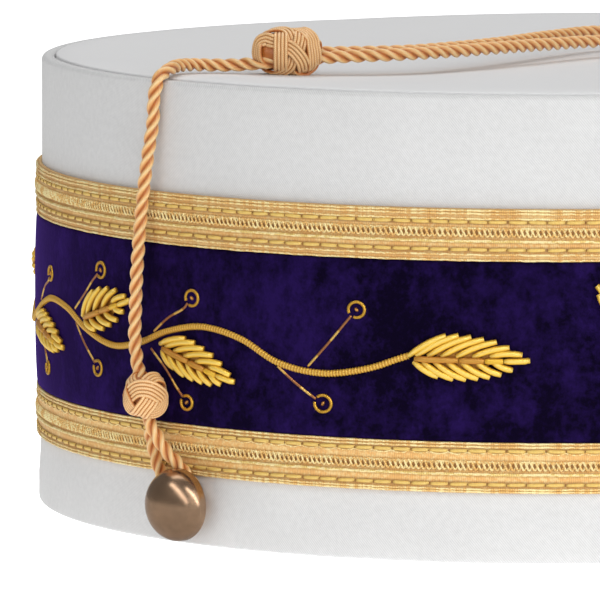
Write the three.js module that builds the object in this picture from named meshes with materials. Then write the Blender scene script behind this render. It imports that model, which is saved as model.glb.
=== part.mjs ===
// Round flat-topped ceremonial cap with velvet band, gold lace, goldwork vine, buttons and cord.
// Millimetres, +Z up, front towards -Y, origin at the centre of the rim the cap stands on.
import * as THREE from "three";

// Cap body
const WALL_RADIUS = 94.85;
const WALL_THICKNESS = 2.3;
const RIM_FLARE = 0.6;
const RIM_FLARE_HEIGHT = 11.5;
const WALL_HEIGHT = 83.1;
const EDGE_ROUND = 1.9;
const SEAM_INSET = 2.15;
const LEDGE_WIDTH = 4.1;
const LEDGE_THICKNESS = 1.7;
const TOP_THICKNESS = 1.6;
const TOP_CREST_RISE = 1.1;
const TOP_SAG = 1.2;
const PIECE_GAP = 0.3;

// Bands on the wall
const LOWER_LACE_BOTTOM = 12.7;
const LOWER_LACE_WIDTH = 9.1;
const VELVET_WIDTH = 31.8;
const VELVET_THICKNESS = 1.0;
const UPPER_LACE_WIDTH = 9.4;
const LACE_THICKNESS = 1.0;
const LACE_RIDGE = 0.15;
const VELVET_BOTTOM = LOWER_LACE_BOTTOM + LOWER_LACE_WIDTH + PIECE_GAP;
const UPPER_LACE_BOTTOM = VELVET_BOTTOM + VELVET_WIDTH + PIECE_GAP;
const ROUND_SEGMENTS = 60;

// Goldwork
const STITCH_RADIUS = WALL_RADIUS + PIECE_GAP + VELVET_THICKNESS + PIECE_GAP;
const VINE_CENTRE_HEIGHT = VELVET_BOTTOM + 0.475 * VELVET_WIDTH;
const STEM_WIDTH = 1.5;
const STEM_HEIGHT = 1.1;
const LEAF_HEIGHT = 1.2;
const LEAF_EDGE_HEIGHT = 0.7;
const LEAF_TEETH = 5;
const TOOTH_DEPTH = 0.16;
const TWIG_END = 0.9;

// Buttons
const BUTTON_ANGLE = 56;
const BUTTON_HEIGHT = 7.7;
const BUTTON_RADIUS = 6.3;
const BUTTON_DOME = 6.2;
const BUTTON_EDGE = 1.2;
const SHANK_RADIUS = 1.6;
const SHANK_LENGTH = 3.05;
const SHANK_START = WALL_RADIUS + RIM_FLARE + PIECE_GAP;
const BUTTON_BACK = SHANK_START + SHANK_LENGTH;

// Cord and knots
const CORD_RADIUS = 1.15;
const CORD_SIDES = 8;
const KNOT_SIDES = 12;
const LOWER_KNOT = { place: [-87.8, -49.1, 27.0], length: 8.3, width: 8.2, turn: [0, 0, 1] };
const CROWN_KNOT = { place: [-58.6, -36.0, 88.35], length: 13.0, width: 8.9, turn: [0.968, -0.25, 0] };

// Stem of the left vine: turn in degrees from the front, rise as a share of the velvet's width.
const STEM_ROUTE = [
  { turn: -30.1, rise: -0.016 },
  { turn: -33.8, rise: -0.082 },
  { turn: -39.1, rise: -0.123 },
  { turn: -44.5, rise: -0.079 },
  { turn: -49.4, rise: 0.041 },
  { turn: -54.6, rise: 0.088 },
  { turn: -59.9, rise: 0.041 },
  { turn: -64.4, rise: -0.041 },
  { turn: -69.5, rise: -0.085 },
  { turn: -75.9, rise: -0.016 },
  { turn: -80.5, rise: 0.079 },
  { turn: -86.2, rise: 0.113 },
  { turn: -90.0, rise: 0.066 },
  { turn: -94.2, rise: -0.016 },
  { turn: -101.0, rise: -0.101 },
  { turn: -108.7, rise: 0.0 },
  { turn: -116.3, rise: 0.101 },
  { turn: -124.0, rise: 0.0 },
  { turn: -131.7, rise: -0.101 },
  { turn: -139.4, rise: 0.0 },
  { turn: -147.1, rise: 0.101 },
  { turn: -154.7, rise: 0.0 },
];

// Leaves of the left vine: turn and rise of the base and of the tip, width as a share of the velvet's.
const LEAVES = [
  { baseTurn: -29.0, baseRise: 0.003, tipTurn: -16.4, tipRise: -0.016, width: 0.25 },
  { baseTurn: -60.6, baseRise: -0.05, tipTurn: -50.1, tipRise: -0.208, width: 0.21 },
  { baseTurn: -75.8, baseRise: 0.066, tipTurn: -66.1, tipRise: 0.201, width: 0.21 },
  { baseTurn: -92.3, baseRise: -0.069, tipTurn: -81.2, tipRise: -0.176, width: 0.2 },
  { baseTurn: -107.0, baseRise: 0.057, tipTurn: -97.4, tipRise: 0.201, width: 0.21 },
  { baseTurn: -122.5, baseRise: -0.069, tipTurn: -112.0, tipRise: -0.195, width: 0.21 },
  { baseTurn: -137.7, baseRise: 0.057, tipTurn: -128.2, tipRise: 0.201, width: 0.21 },
  { baseTurn: -153.2, baseRise: -0.069, tipTurn: -142.7, tipRise: -0.195, width: 0.21 },
];

// Plain sprig at the front centre, in the same columns.
const SPRIG = {
  left: { baseTurn: -2.1, baseRise: -0.19, tipTurn: -9.6, tipRise: 0.371, width: 0.21 },
  centre: { baseTurn: 0.0, baseRise: -0.208, tipTurn: 0.0, tipRise: 0.478, width: 0.22 },
  right: { baseTurn: 2.1, baseRise: -0.19, tipTurn: 9.6, tipRise: 0.371, width: 0.21 },
};

// Loop of the cord round the left button's shank, from the knot down and back to it.
const LEFT_LOOP_ROUTE = [
  [-86.8, -49.5, 22.1],
  [-85.9, -50.6, 20.4],
  [-85.2, -50.9, 18.9],
  [-83.8, -52.0, 16.8],
  [-82.2, -53.3, 15.1],
  [-80.7, -54.7, 12.9],
  [-79.0, -56.5, 10.3],
  [-78.6, -56.8, 7.6],
  [-79.4, -55.8, 5.2],
  [-80.4, -54.2, 4.5],
  [-81.5, -52.5, 5.2],
  [-82.2, -51.5, 7.6],
  [-83.0, -50.4, 9.9],
  [-84.5, -48.4, 11.9],
  [-85.2, -47.5, 14.0],
  [-85.6, -46.9, 16.0],
  [-86.0, -46.3, 18.6],
  [-86.2, -46.3, 22.0],
];

// Single cord from the lower knot up the wall, over the edge and into the knot on the crown.
const RISE_ROUTE = [
  [-88.4, -46.6, 32.1],
  [-88.4, -45.5, 36.7],
  [-88.2, -45.6, 42.2],
  [-87.9, -45.7, 48.0],
  [-87.4, -45.6, 55.0],
  [-86.9, -45.3, 62.2],
  [-86.2, -45.3, 70.0],
  [-85.8, -44.9, 76.6],
  [-85.6, -44.8, 80.6],
  [-84.0, -44.4, 84.2],
  [-81.7, -42.3, 85.6],
  [-79.6, -38.6, 85.8],
  [-77.0, -35.6, 85.7],
  [-74.0, -34.1, 85.5],
  [-71.0, -33.9, 85.4],
  [-68.2, -34.1, 85.8],
  [-66.0, -34.3, 86.6],
];

// Doubled cord from the knot on the crown to the right button and back.
const CROWN_LOOP_ROUTE = [
  [-51.4, -37.4, 86.8],
  [-37.2, -35.8, 86.9],
  [-26.4, -30.3, 86.7],
  [-15.2, -22.9, 86.4],
  [-3.5, -13.6, 85.9],
  [9.2, -4.4, 85.4],
  [23.9, 0.5, 84.9],
  [51.3, -5.5, 84.9],
  [62.2, -15.1, 85.2],
  [78.9, -36.4, 85.9],
  [83.4, -42.8, 84.7],
  [85.5, -46.3, 79.5],
  [86.9, -47.4, 48.0],
  [86.7, -47.6, 32.0],
  [85.0, -49.9, 20.5],
  [81.4, -54.5, 15.3],
  [79.3, -56.4, 11.5],
  [78.6, -56.8, 7.6],
  [79.4, -55.8, 5.2],
  [80.4, -54.2, 4.5],
  [81.5, -52.5, 5.2],
  [82.2, -51.5, 7.6],
  [83.3, -50.3, 10.8],
  [85.6, -47.1, 15.5],
  [87.7, -44.7, 22.0],
  [88.4, -44.6, 34.0],
  [88.4, -44.6, 48.0],
  [86.8, -43.8, 79.5],
  [84.5, -40.2, 84.8],
  [80.3, -33.2, 85.9],
  [66.1, -9.9, 85.0],
  [56.2, 1.5, 84.8],
  [29.1, 12.6, 85.4],
  [12.9, 10.1, 86.2],
  [-0.8, -2.9, 86.9],
  [-13.6, -16.6, 87.2],
  [-25.4, -26.5, 87.5],
  [-36.5, -33.2, 87.8],
  [-51.0, -34.4, 88.3],
];

// Colours of the materials with their roughness and metalness.
const FINISHES = {
  white_cloth: [0xdcdcda, 0.85, 0.0],
  velvet: [0x2a1260, 0.95, 0.0],
  gold_lace: [0xc9984f, 0.45, 0.6],
  gold_bullion: [0xdcb548, 0.35, 0.8],
  gold_cord: [0xe0a060, 0.6, 0.2],
  antique_brass: [0x6c5842, 0.4, 0.9],
};

function piece(name, geometry, finish) {
  const [color, roughness, metalness] = FINISHES[finish];
  const material = new THREE.MeshStandardMaterial({ color, roughness, metalness });
  material.name = finish;
  const mesh = new THREE.Mesh(geometry, material);
  mesh.name = name;
  return mesh;
}

// Turns a closed profile of [radius, height] points about the upright axis.
function turned(profile, segments = ROUND_SEGMENTS) {
  const points = profile.map(([r, z]) => new THREE.Vector2(r, z));
  const geometry = new THREE.LatheGeometry(points, segments);
  geometry.rotateX(Math.PI / 2);
  return geometry;
}

// Joins rings of points into one closed skin with a flat cap at either end.
function lofted(rings) {
  const sides = rings[0].length;
  const places = rings.flat().flatMap((p) => [p.x, p.y, p.z]);
  const faces = [];
  for (let i = 0; i + 1 < rings.length; i += 1) {
    for (let k = 0; k < sides; k += 1) {
      const a = i * sides + k;
      const b = i * sides + ((k + 1) % sides);
      faces.push(a, b, b + sides);
      faces.push(a, b + sides, a + sides);
    }
  }
  const last = (rings.length - 1) * sides;
  for (let k = 1; k + 1 < sides; k += 1) {
    faces.push(0, k + 1, k);
    faces.push(last, last + k, last + k + 1);
  }
  const geometry = new THREE.BufferGeometry();
  geometry.setAttribute("position", new THREE.Float32BufferAttribute(places, 3));
  geometry.setIndex(faces);
  geometry.computeVertexNormals();
  return geometry;
}

// The same skin seen in a mirror across the cap's left-right middle.
function mirrored(geometry) {
  const copy = geometry.clone();
  copy.scale(-1, 1, 1);
  const index = Array.from(copy.index.array);
  for (let i = 0; i < index.length; i += 3) {
    [index[i + 1], index[i + 2]] = [index[i + 2], index[i + 1]];
  }
  copy.setIndex(index);
  copy.computeVertexNormals();
  return copy;
}

// A place on the band: distance along it, height, and how far it stands off the velvet.
function onBand(along, height, proud) {
  const radius = STITCH_RADIUS + proud;
  const angle = along / STITCH_RADIUS;
  return new THREE.Vector3(radius * Math.sin(angle), -radius * Math.cos(angle), height);
}

// Distance along the band and height that a turn and a rise stand for.
function bandPoint(turn, rise) {
  const along = THREE.MathUtils.degToRad(turn) * STITCH_RADIUS;
  return new THREE.Vector2(along, VINE_CENTRE_HEIGHT + rise * VELVET_WIDTH);
}

function crownSide() {
  const inner = WALL_RADIUS - WALL_THICKNESS;
  const seam = WALL_RADIUS - SEAM_INSET;
  const ledgeTop = WALL_HEIGHT - EDGE_ROUND;
  const rim = WALL_RADIUS + RIM_FLARE;
  return turned([
    [inner + 1.2, 0],
    [rim - 0.6, 0],
    [rim, 1.0],
    [rim - 0.1, 4.2],
    [WALL_RADIUS, RIM_FLARE_HEIGHT],
    [WALL_RADIUS, ledgeTop],
    [WALL_RADIUS - 0.5, WALL_HEIGHT - 0.6],
    [WALL_RADIUS - 1.5, WALL_HEIGHT],
    [seam, WALL_HEIGHT - 0.5],
    [seam, ledgeTop],
    [seam - LEDGE_WIDTH, ledgeTop],
    [seam - LEDGE_WIDTH, ledgeTop - LEDGE_THICKNESS],
    [inner, ledgeTop - LEDGE_THICKNESS - 0.3],
    [inner, 1.2],
    [inner + 1.2, 0],
  ]);
}

function crownTop() {
  const edge = WALL_RADIUS - SEAM_INSET - PIECE_GAP;
  const under = WALL_HEIGHT - EDGE_ROUND + PIECE_GAP;
  const crest = WALL_HEIGHT + TOP_CREST_RISE;
  const centre = crest - TOP_SAG;
  return turned([
    [0, centre - TOP_THICKNESS],
    [edge * 0.76, Math.min(under, crest - 0.6 * TOP_SAG - TOP_THICKNESS)],
    [edge - 0.5, under],
    [edge, under + 0.6],
    [edge - 0.1, crest - 1.2],
    [edge - 1.4, crest - 0.3],
    [edge - 4.4, crest],
    [edge * 0.86, crest - TOP_SAG * 0.28],
    [edge * 0.74, crest - TOP_SAG * 0.62],
    [edge * 0.5, crest - TOP_SAG * 0.88],
    [0, centre],
  ]);
}

function velvetBand() {
  const inner = WALL_RADIUS + PIECE_GAP;
  const outer = inner + VELVET_THICKNESS;
  const top = VELVET_BOTTOM + VELVET_WIDTH;
  return turned([
    [inner, VELVET_BOTTOM],
    [outer - 0.2, VELVET_BOTTOM],
    [outer, VELVET_BOTTOM + 0.5],
    [outer, top - 0.5],
    [outer - 0.2, top],
    [inner, top],
    [inner, VELVET_BOTTOM],
  ]);
}

// Lace with its border ridges, stitch grooves and middle ridge; shares are of its width.
function lace(bottom, width, ridgeShare) {
  const inner = WALL_RADIUS + PIECE_GAP;
  const outer = inner + LACE_THICKNESS;
  return turned([
    [inner, bottom],
    [outer - 0.2, bottom],
    [outer, bottom + width * 0.1],
    [outer - LACE_RIDGE, bottom + width * 0.24],
    [outer + LACE_RIDGE, bottom + width * ridgeShare],
    [outer - LACE_RIDGE, bottom + width * 0.77],
    [outer, bottom + width * 0.9],
    [outer - 0.2, bottom + width],
    [inner, bottom + width],
    [inner, bottom],
  ]);
}

// Raised stem: a flat-backed rib that follows the route along the band.
function stem() {
  const route = new THREE.CatmullRomCurve3(
    STEM_ROUTE.map((row) => {
      const at = bandPoint(row.turn, row.rise);
      return new THREE.Vector3(at.x, at.y, 0);
    }),
  );
  const steps = 2 * (STEM_ROUTE.length - 1);
  const rings = [];
  for (let i = 0; i <= steps; i += 1) {
    const at = route.getPoint(i / steps);
    const way = route.getTangent(i / steps);
    const across = new THREE.Vector2(-way.y, way.x).normalize();
    const side = (share, proud) =>
      onBand(at.x + across.x * STEM_WIDTH * share, at.y + across.y * STEM_WIDTH * share, proud);
    rings.push([
      side(0.5, 0),
      side(0.28, STEM_HEIGHT),
      side(-0.28, STEM_HEIGHT),
      side(-0.5, 0),
    ]);
  }
  return lofted(rings);
}

// Raised leaf with a toothed edge on both sides and a ridge down its middle.
function leaf(row) {
  const start = bandPoint(row.baseTurn, row.baseRise);
  const run = bandPoint(row.tipTurn, row.tipRise).sub(start);
  const width = row.width * VELVET_WIDTH;
  const across = new THREE.Vector2(-run.y, run.x).normalize();
  const steps = 2 * LEAF_TEETH;
  const rings = [];
  for (let i = 0; i <= steps; i += 1) {
    const share = i / steps;
    const swell = Math.sin(Math.PI * Math.min(1, 0.08 + 0.9 * share) ** 0.9);
    const notch = i % 2 === 1 ? 1 : 1 - TOOTH_DEPTH;
    const half = TWIG_END / 2 + (width - TWIG_END) * 0.5 * swell * notch;
    const side = (offset, proud) =>
      onBand(
        start.x + run.x * share + across.x * offset,
        start.y + run.y * share + across.y * offset,
        proud,
      );
    rings.push([
      side(half, 0),
      side(half, LEAF_EDGE_HEIGHT),
      side(0, LEAF_HEIGHT),
      side(-half, LEAF_EDGE_HEIGHT),
      side(-half, 0),
    ]);
  }
  return lofted(rings);
}

// Domed button with its shank, lying along the outward direction at its place on the wall.
function button() {
  const dome = [];
  const turns = 4;
  for (let i = 0; i <= turns; i += 1) {
    const angle = (i / turns) * (Math.PI / 2);
    dome.push([
      BUTTON_RADIUS * Math.cos(angle),
      BUTTON_BACK + BUTTON_EDGE + (BUTTON_DOME - BUTTON_EDGE) * Math.sin(angle),
    ]);
  }
  dome[turns][0] = 0;
  const geometry = turned(
    [[0, SHANK_START], [SHANK_RADIUS, SHANK_START], [SHANK_RADIUS, BUTTON_BACK]]
      .concat([[BUTTON_RADIUS * 0.72, BUTTON_BACK]])
      .concat(dome),
    16,
  );
  geometry.rotateX(Math.PI / 2);
  geometry.rotateZ((-BUTTON_ANGLE * Math.PI) / 180);
  geometry.translate(0, 0, BUTTON_HEIGHT);
  return geometry;
}

// Round cord through the route, its ring frame carried along without twisting.
function cord(route, stepsPerSpan) {
  const curve = new THREE.CatmullRomCurve3(route.map((p) => new THREE.Vector3(...p)));
  const steps = stepsPerSpan * (route.length - 1);
  const rings = [];
  const out = new THREE.Vector3(0, 0, 1);
  for (let i = 0; i <= steps; i += 1) {
    const at = curve.getPoint(i / steps);
    const way = curve.getTangent(i / steps).normalize();
    out.addScaledVector(way, -out.dot(way));
    if (out.length() < 0.05) {
      out.set(at.x, at.y, 0).addScaledVector(way, -way.dot(at));
    }
    out.normalize();
    const side = new THREE.Vector3().crossVectors(way, out);
    const ring = [];
    for (let k = 0; k < CORD_SIDES; k += 1) {
      const angle = (2 * Math.PI * k) / CORD_SIDES;
      ring.push(
        at
          .clone()
          .addScaledVector(out, CORD_RADIUS * Math.cos(angle))
          .addScaledVector(side, CORD_RADIUS * Math.sin(angle)),
      );
    }
    rings.push(ring);
  }
  return lofted(rings);
}

// Knot as a round lump along its cord, dished at both ends, its passes shown as slanting lobes.
function knot({ place, length, width, turn }) {
  const axis = new THREE.Vector3(...turn).normalize();
  const upright = new THREE.Vector3(0, 0, 1);
  const first = Math.abs(axis.z) > 0.9 ? new THREE.Vector3(1, 0, 0) : upright;
  const side = new THREE.Vector3().crossVectors(axis, first).normalize();
  const up = new THREE.Vector3().crossVectors(side, axis);
  const rows = [-0.46, -0.4, -0.22, 0, 0.22, 0.4, 0.46];
  const swells = [0.4, 0.62, 0.92, 1.0, 0.92, 0.62, 0.4];
  const rings = rows.map((row, i) => {
    const ring = [];
    for (let k = 0; k < KNOT_SIDES; k += 1) {
      const angle = (2 * Math.PI * (k + 0.5 * i)) / KNOT_SIDES;
      const lobe = k % 2 === 0 ? 1.0 : 0.93;
      const reach = width * 0.5 * swells[i] * lobe;
      ring.push(
        new THREE.Vector3(...place)
          .addScaledVector(axis, row * length)
          .addScaledVector(side, reach * Math.cos(angle))
          .addScaledVector(up, -reach * Math.sin(angle)),
      );
    }
    return ring;
  });
  return lofted(rings);
}

function vines(group) {
  const left = stem();
  group.add(piece("vine_left", left, "gold_bullion"));
  group.add(piece("vine_right", mirrored(left), "gold_bullion"));
  LEAVES.forEach((row, i) => {
    const shape = leaf(row);
    group.add(piece(`leaf_left_${i + 1}`, shape, "gold_bullion"));
    group.add(piece(`leaf_right_${i + 1}`, mirrored(shape), "gold_bullion"));
  });
  Object.entries(SPRIG).forEach(([place, row]) => {
    group.add(piece(`sprig_leaf_${place}`, leaf(row), "gold_bullion"));
  });
}

function buttonsAndCord(group) {
  const left = button();
  group.add(piece("button_left", left, "antique_brass"));
  group.add(piece("button_right", mirrored(left), "antique_brass"));
  group.add(piece("cord_left_loop", cord(LEFT_LOOP_ROUTE, 1), "gold_cord"));
  group.add(piece("cord_rise", cord(RISE_ROUTE, 1), "gold_cord"));
  group.add(piece("cord_crown_loop", cord(CROWN_LOOP_ROUTE, 2), "gold_cord"));
  group.add(piece("knot_left", knot(LOWER_KNOT), "gold_cord"));
  group.add(piece("knot_top", knot(CROWN_KNOT), "gold_cord"));
}

const cap = new THREE.Group();
cap.name = "masonic_crown_cap";
cap.add(piece("crown_side", crownSide(), "white_cloth"));
cap.add(piece("crown_top", crownTop(), "white_cloth"));
cap.add(piece("velvet_band", velvetBand(), "velvet"));
cap.add(piece("upper_lace", lace(UPPER_LACE_BOTTOM, UPPER_LACE_WIDTH, 0.48), "gold_lace"));
cap.add(piece("lower_lace", lace(LOWER_LACE_BOTTOM, LOWER_LACE_WIDTH, 0.42), "gold_lace"));
vines(cap);
buttonsAndCord(cap);

export default cap;
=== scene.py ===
"""Looks of a round, flat-topped ceremonial cap: cloth, velvet, gold lace, goldwork and cord."""

import math

import bpy
import numpy as np
from mathutils import Matrix, Vector


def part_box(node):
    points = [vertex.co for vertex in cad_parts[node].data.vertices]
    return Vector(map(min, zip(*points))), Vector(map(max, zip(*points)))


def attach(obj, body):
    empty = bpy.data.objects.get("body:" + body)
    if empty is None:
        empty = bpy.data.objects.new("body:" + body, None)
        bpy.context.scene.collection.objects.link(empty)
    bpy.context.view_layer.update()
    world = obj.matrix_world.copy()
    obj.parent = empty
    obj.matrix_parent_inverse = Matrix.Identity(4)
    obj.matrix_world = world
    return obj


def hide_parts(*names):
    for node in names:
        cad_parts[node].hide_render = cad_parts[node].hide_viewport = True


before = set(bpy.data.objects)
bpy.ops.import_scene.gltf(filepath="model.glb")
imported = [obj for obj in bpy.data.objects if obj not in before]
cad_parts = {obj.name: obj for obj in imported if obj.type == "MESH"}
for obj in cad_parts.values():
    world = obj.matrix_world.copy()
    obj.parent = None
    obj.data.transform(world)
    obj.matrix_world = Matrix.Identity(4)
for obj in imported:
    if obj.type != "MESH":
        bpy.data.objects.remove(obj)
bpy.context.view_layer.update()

bl_info = {
    "name": "Ceremonial cap looks",
    "version": (1, 0, 0),
    "blender": (4, 5, 0),
    "location": "View3D > Sidebar > Cap",
    "description": "Builds the cloth, lace, goldwork, cord and stage of a flat-topped ceremonial cap",
    "category": "Object",
}

MM = 0.001
PIECE_GAP = 0.3 * MM
WALL_THICKNESS = 2.3 * MM
# How far the white cloth's face stands out from the wall's radius, and its foot from the rim's radius.
FACE_OUT = 0.25 * MM
FOOT_OUT = 0.4 * MM
# Where the buttons sit, as a turn from the front, and the power that rounds a knot's body.
BUTTON_TURN = math.radians(56.5)
KNOT_ROUNDNESS = 2.6
# Width of the camera's sensor in millimetres and of the picture in pixels.
SENSOR_WIDTH = 36.0
PICTURE_WIDTH = 600.0

# Sizes read off the frame
VELVET_LOW, VELVET_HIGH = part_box("velvet_band")
VELVET_RADIUS = VELVET_HIGH.x
VELVET_WIDTH = VELVET_HIGH.z - VELVET_LOW.z
RIM_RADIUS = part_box("crown_side")[1].x
WALL_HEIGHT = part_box("crown_side")[1].z
TOP_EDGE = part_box("crown_top")[1].x
TOP_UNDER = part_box("crown_top")[0].z
TOP_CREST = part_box("crown_top")[1].z
WALL_RADIUS = VELVET_RADIUS - 1.3 * MM
SEAM_HEIGHT = 0.4 * WALL_HEIGHT + 0.6 * TOP_CREST
STITCH_RADIUS = VELVET_RADIUS
VINE_HEIGHT = VELVET_LOW.z + 0.475 * VELVET_WIDTH

# Stem of the left vine: turn in degrees from the front, rise as a share of the velvet's width.
STEM_ROUTE = [
    (-29.4, -0.002), (-30.6, -0.024), (-33.8, -0.082), (-39.1, -0.123), (-44.5, -0.079), (-49.4, 0.041),
    (-54.6, 0.088), (-59.9, 0.041), (-64.4, -0.041), (-69.5, -0.085), (-75.9, -0.016),
    (-80.5, 0.07), (-86.2, 0.099), (-90.0, 0.056), (-94.2, -0.016), (-101.0, -0.101),
    (-108.7, 0.0), (-116.3, 0.101), (-124.0, 0.0), (-131.7, -0.101), (-139.4, 0.0),
    (-147.1, 0.101), (-154.7, 0.0),
]

# Leaves of the left vine: turn and rise of the base, turn and rise of the tip, width as a share.
LEAVES = [
    (-29.0, 0.003, -16.4, -0.016, 0.25),
    (-60.6, -0.034, -50.1, -0.208, 0.21),
    (-75.9, 0.060, -66.2, 0.191, 0.235),
    (-92.7, -0.047, -81.8, -0.166, 0.185),
    (-114.8, 0.115, -105.8, 0.235, 0.19),
    (-122.5, -0.069, -112.0, -0.195, 0.21),
    (-137.7, 0.057, -128.2, 0.201, 0.21),
    (-153.2, -0.069, -142.7, -0.195, 0.21),
]
SPRIG = {
    "left": (-2.1, -0.19, -9.35, 0.405, 0.155),
    "centre": (0.0, -0.208, 0.0, 0.478, 0.22),
    "right": (2.1, -0.19, 9.35, 0.405, 0.155),
}

# Wire tendrils of the left vine: stalk points and ring's centre as turn and rise; ring radius in mm.
TENDRILS = [
    ([(-40.9, -0.09), (-38.1, 0.07), (-36.3, 0.18)], (-35.2, 0.245), 1.8),
    ([(-44.6, -0.1), (-42.6, -0.18), (-40.6, -0.25)], (-39.1, -0.295), 1.9),
    ([(-62.2, 0.03), (-59.8, 0.12), (-57.5, 0.18)], (-56.2, 0.245), 1.8),
    ([(-62.7, -0.07), (-60.4, -0.17), (-58.3, -0.29)], (-57.0, -0.355), 1.65),
    ([(-78.7, 0.08), (-76.0, 0.185), (-74.2, 0.265)], (-72.3, 0.335), 1.8),
    ([(-78.4, 0.0), (-76.4, -0.1), (-74.4, -0.18)], (-73.0, -0.235), 1.75),
    ([(-92.0, 0.06), (-89.7, 0.155), (-88.1, 0.19)], (-87.0, 0.24), 1.65),
    ([(-93.0, -0.05), (-90.9, -0.16), (-89.3, -0.25)], (-88.4, -0.32), 1.5),
    ([(-112.6, 0.03), (-110.4, -0.1), (-109.0, -0.18)], (-107.8, -0.235), 1.65),
    ([(-123.6, 0.01), (-121.3, 0.12), (-119.7, 0.19)], (-118.4, 0.245), 1.65),
    ([(-139.2, 0.01), (-136.8, -0.1), (-135.0, -0.18)], (-133.8, -0.235), 1.65),
    ([(-154.3, 0.01), (-152.0, 0.12), (-150.4, 0.19)], (-149.1, 0.245), 1.65),
]

# Routes of the three cords in metres: the loop round the left button, the single rise, the doubled cord.
LEFT_LOOP_ROUTE = [
    (-0.0873, -0.0490, 0.0243),
    (-0.0871, -0.0493, 0.0221),
    (-0.0863, -0.0502, 0.0203),
    (-0.0855, -0.0507, 0.0187),
    (-0.0842, -0.0517, 0.0166),
    (-0.0827, -0.0528, 0.0149),
    (-0.0813, -0.0541, 0.0128),
    (-0.0799, -0.0555, 0.0103),
    (-0.0795, -0.0557, 0.0076),
    (-0.0800, -0.0548, 0.0052),
    (-0.0808, -0.0537, 0.0045),
    (-0.0817, -0.0523, 0.0052),
    (-0.0824, -0.0513, 0.0076),
    (-0.0832, -0.0502, 0.0099),
    (-0.0845, -0.0484, 0.0119),
    (-0.0852, -0.0475, 0.0140),
    (-0.0856, -0.0469, 0.0160),
    (-0.0862, -0.0465, 0.0186),
    (-0.0868, -0.0475, 0.0232),
]
RISE_ROUTE = [
    (-0.0887, -0.0492, 0.0292),
    (-0.0886, -0.0479, 0.0306),
    (-0.0887, -0.0465, 0.0323),
    (-0.0889, -0.0450, 0.0367),
    (-0.0888, -0.0450, 0.0422),
    (-0.0886, -0.0451, 0.0480),
    (-0.0881, -0.0450, 0.0550),
    (-0.0874, -0.0448, 0.0622),
    (-0.0865, -0.0451, 0.0700),
    (-0.0855, -0.0452, 0.0766),
    (-0.0854, -0.0454, 0.0806),
    (-0.0844, -0.0454, 0.0842),
    (-0.0817, -0.0423, 0.0856),
    (-0.0796, -0.0386, 0.0858),
    (-0.0770, -0.0356, 0.0857),
    (-0.0740, -0.0341, 0.0855),
    (-0.0710, -0.0339, 0.0854),
    (-0.0682, -0.0344, 0.0854),
    (-0.0658, -0.0353, 0.0856),
    (-0.0635, -0.0368, 0.0859),
    (-0.0621, -0.0372, 0.0861),
    (-0.0605, -0.0373, 0.0865),
]
CROWN_LOOP_ROUTE = [
    (-0.0540, -0.0377, 0.0865),
    (-0.0514, -0.0374, 0.0867),
    (-0.0372, -0.0358, 0.0869),
    (-0.0264, -0.0303, 0.0868),
    (-0.0152, -0.0229, 0.0867),
    (-0.0035, -0.0136, 0.0864),
    (0.0092, -0.0044, 0.0860),
    (0.0239, 0.0005, 0.0853),
    (0.0513, -0.0055, 0.0849),
    (0.0622, -0.0151, 0.0852),
    (0.0789, -0.0364, 0.0859),
    (0.0834, -0.0428, 0.0847),
    (0.0855, -0.0463, 0.0795),
    (0.0869, -0.0474, 0.0480),
    (0.0867, -0.0476, 0.0320),
    (0.0850, -0.0499, 0.0205),
    (0.0814, -0.0545, 0.0153),
    (0.0793, -0.0564, 0.0115),
    (0.0786, -0.0568, 0.0076),
    (0.0794, -0.0558, 0.0052),
    (0.0804, -0.0542, 0.0045),
    (0.0815, -0.0525, 0.0052),
    (0.0822, -0.0515, 0.0076),
    (0.0833, -0.0503, 0.0108),
    (0.0856, -0.0471, 0.0155),
    (0.0877, -0.0447, 0.0220),
    (0.0884, -0.0446, 0.0340),
    (0.0884, -0.0446, 0.0480),
    (0.0868, -0.0438, 0.0795),
    (0.0845, -0.0402, 0.0848),
    (0.0803, -0.0332, 0.0859),
    (0.0661, -0.0099, 0.0850),
    (0.0562, 0.0015, 0.0848),
    (0.0291, 0.0126, 0.0858),
    (0.0129, 0.0101, 0.0866),
    (-0.0008, -0.0029, 0.0869),
    (-0.0136, -0.0166, 0.0870),
    (-0.0254, -0.0265, 0.0871),
    (-0.0365, -0.0332, 0.0872),
    (-0.0536, -0.0354, 0.0874),
]

# Woven knots: place in metres, line through the knot and way it faces, half sizes in mm, and its bands.
# A band is a number of strands side by side and points along it: millimetres along the knot's line,
# turn about that line in degrees from the way it faces towards aside, and millimetres above or below
# its fellows.
LOWER_KNOT = {
    "place": (-0.0878, -0.0491, 0.0270),
    "way": (0.0, 0.0, 1.0),
    "faces": (-0.25, -0.968, 0.0),
    "aside": (0.968, -0.25, 0.0),
    "half_length": 3.75,
    "half_width": 3.35,
    "bands": [
        (5, [(-0.5, -78, -0.7), (0.6, -47, 0.1), (1.5, -22, 0.35), (1.5, 11, 0.35), (0.7, 38, 0.3),
             (-0.6, 62, 0.3), (-2.2, 56, 0.2), (-2.9, 23, -0.1), (-3.1, 0, -0.8)]),
        (5, [(-3.6, -62, -0.3), (-3.0, -22, 0.2), (-1.7, 0, 0.35), (-0.5, 15, 0.3), (0.6, 26, -0.8)]),
        (5, [(2.0, -104, -0.5), (0.6, -84, 0.2), (-1.1, -62, 0.3), (-2.4, -48, 0.1), (-3.2, -30, -0.8)]),
        (4, [(0.7, -8, -0.8), (2.5, 5, 0.1), (3.2, 33, 0.3), (2.9, 80, 0.3), (1.9, 112, -0.4)]),
        (3, [(3.4, -130, -0.3), (3.1, -78, 0.2), (2.3, -42, 0.0), (1.2, -20, -0.8)]),
    ],
}
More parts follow.
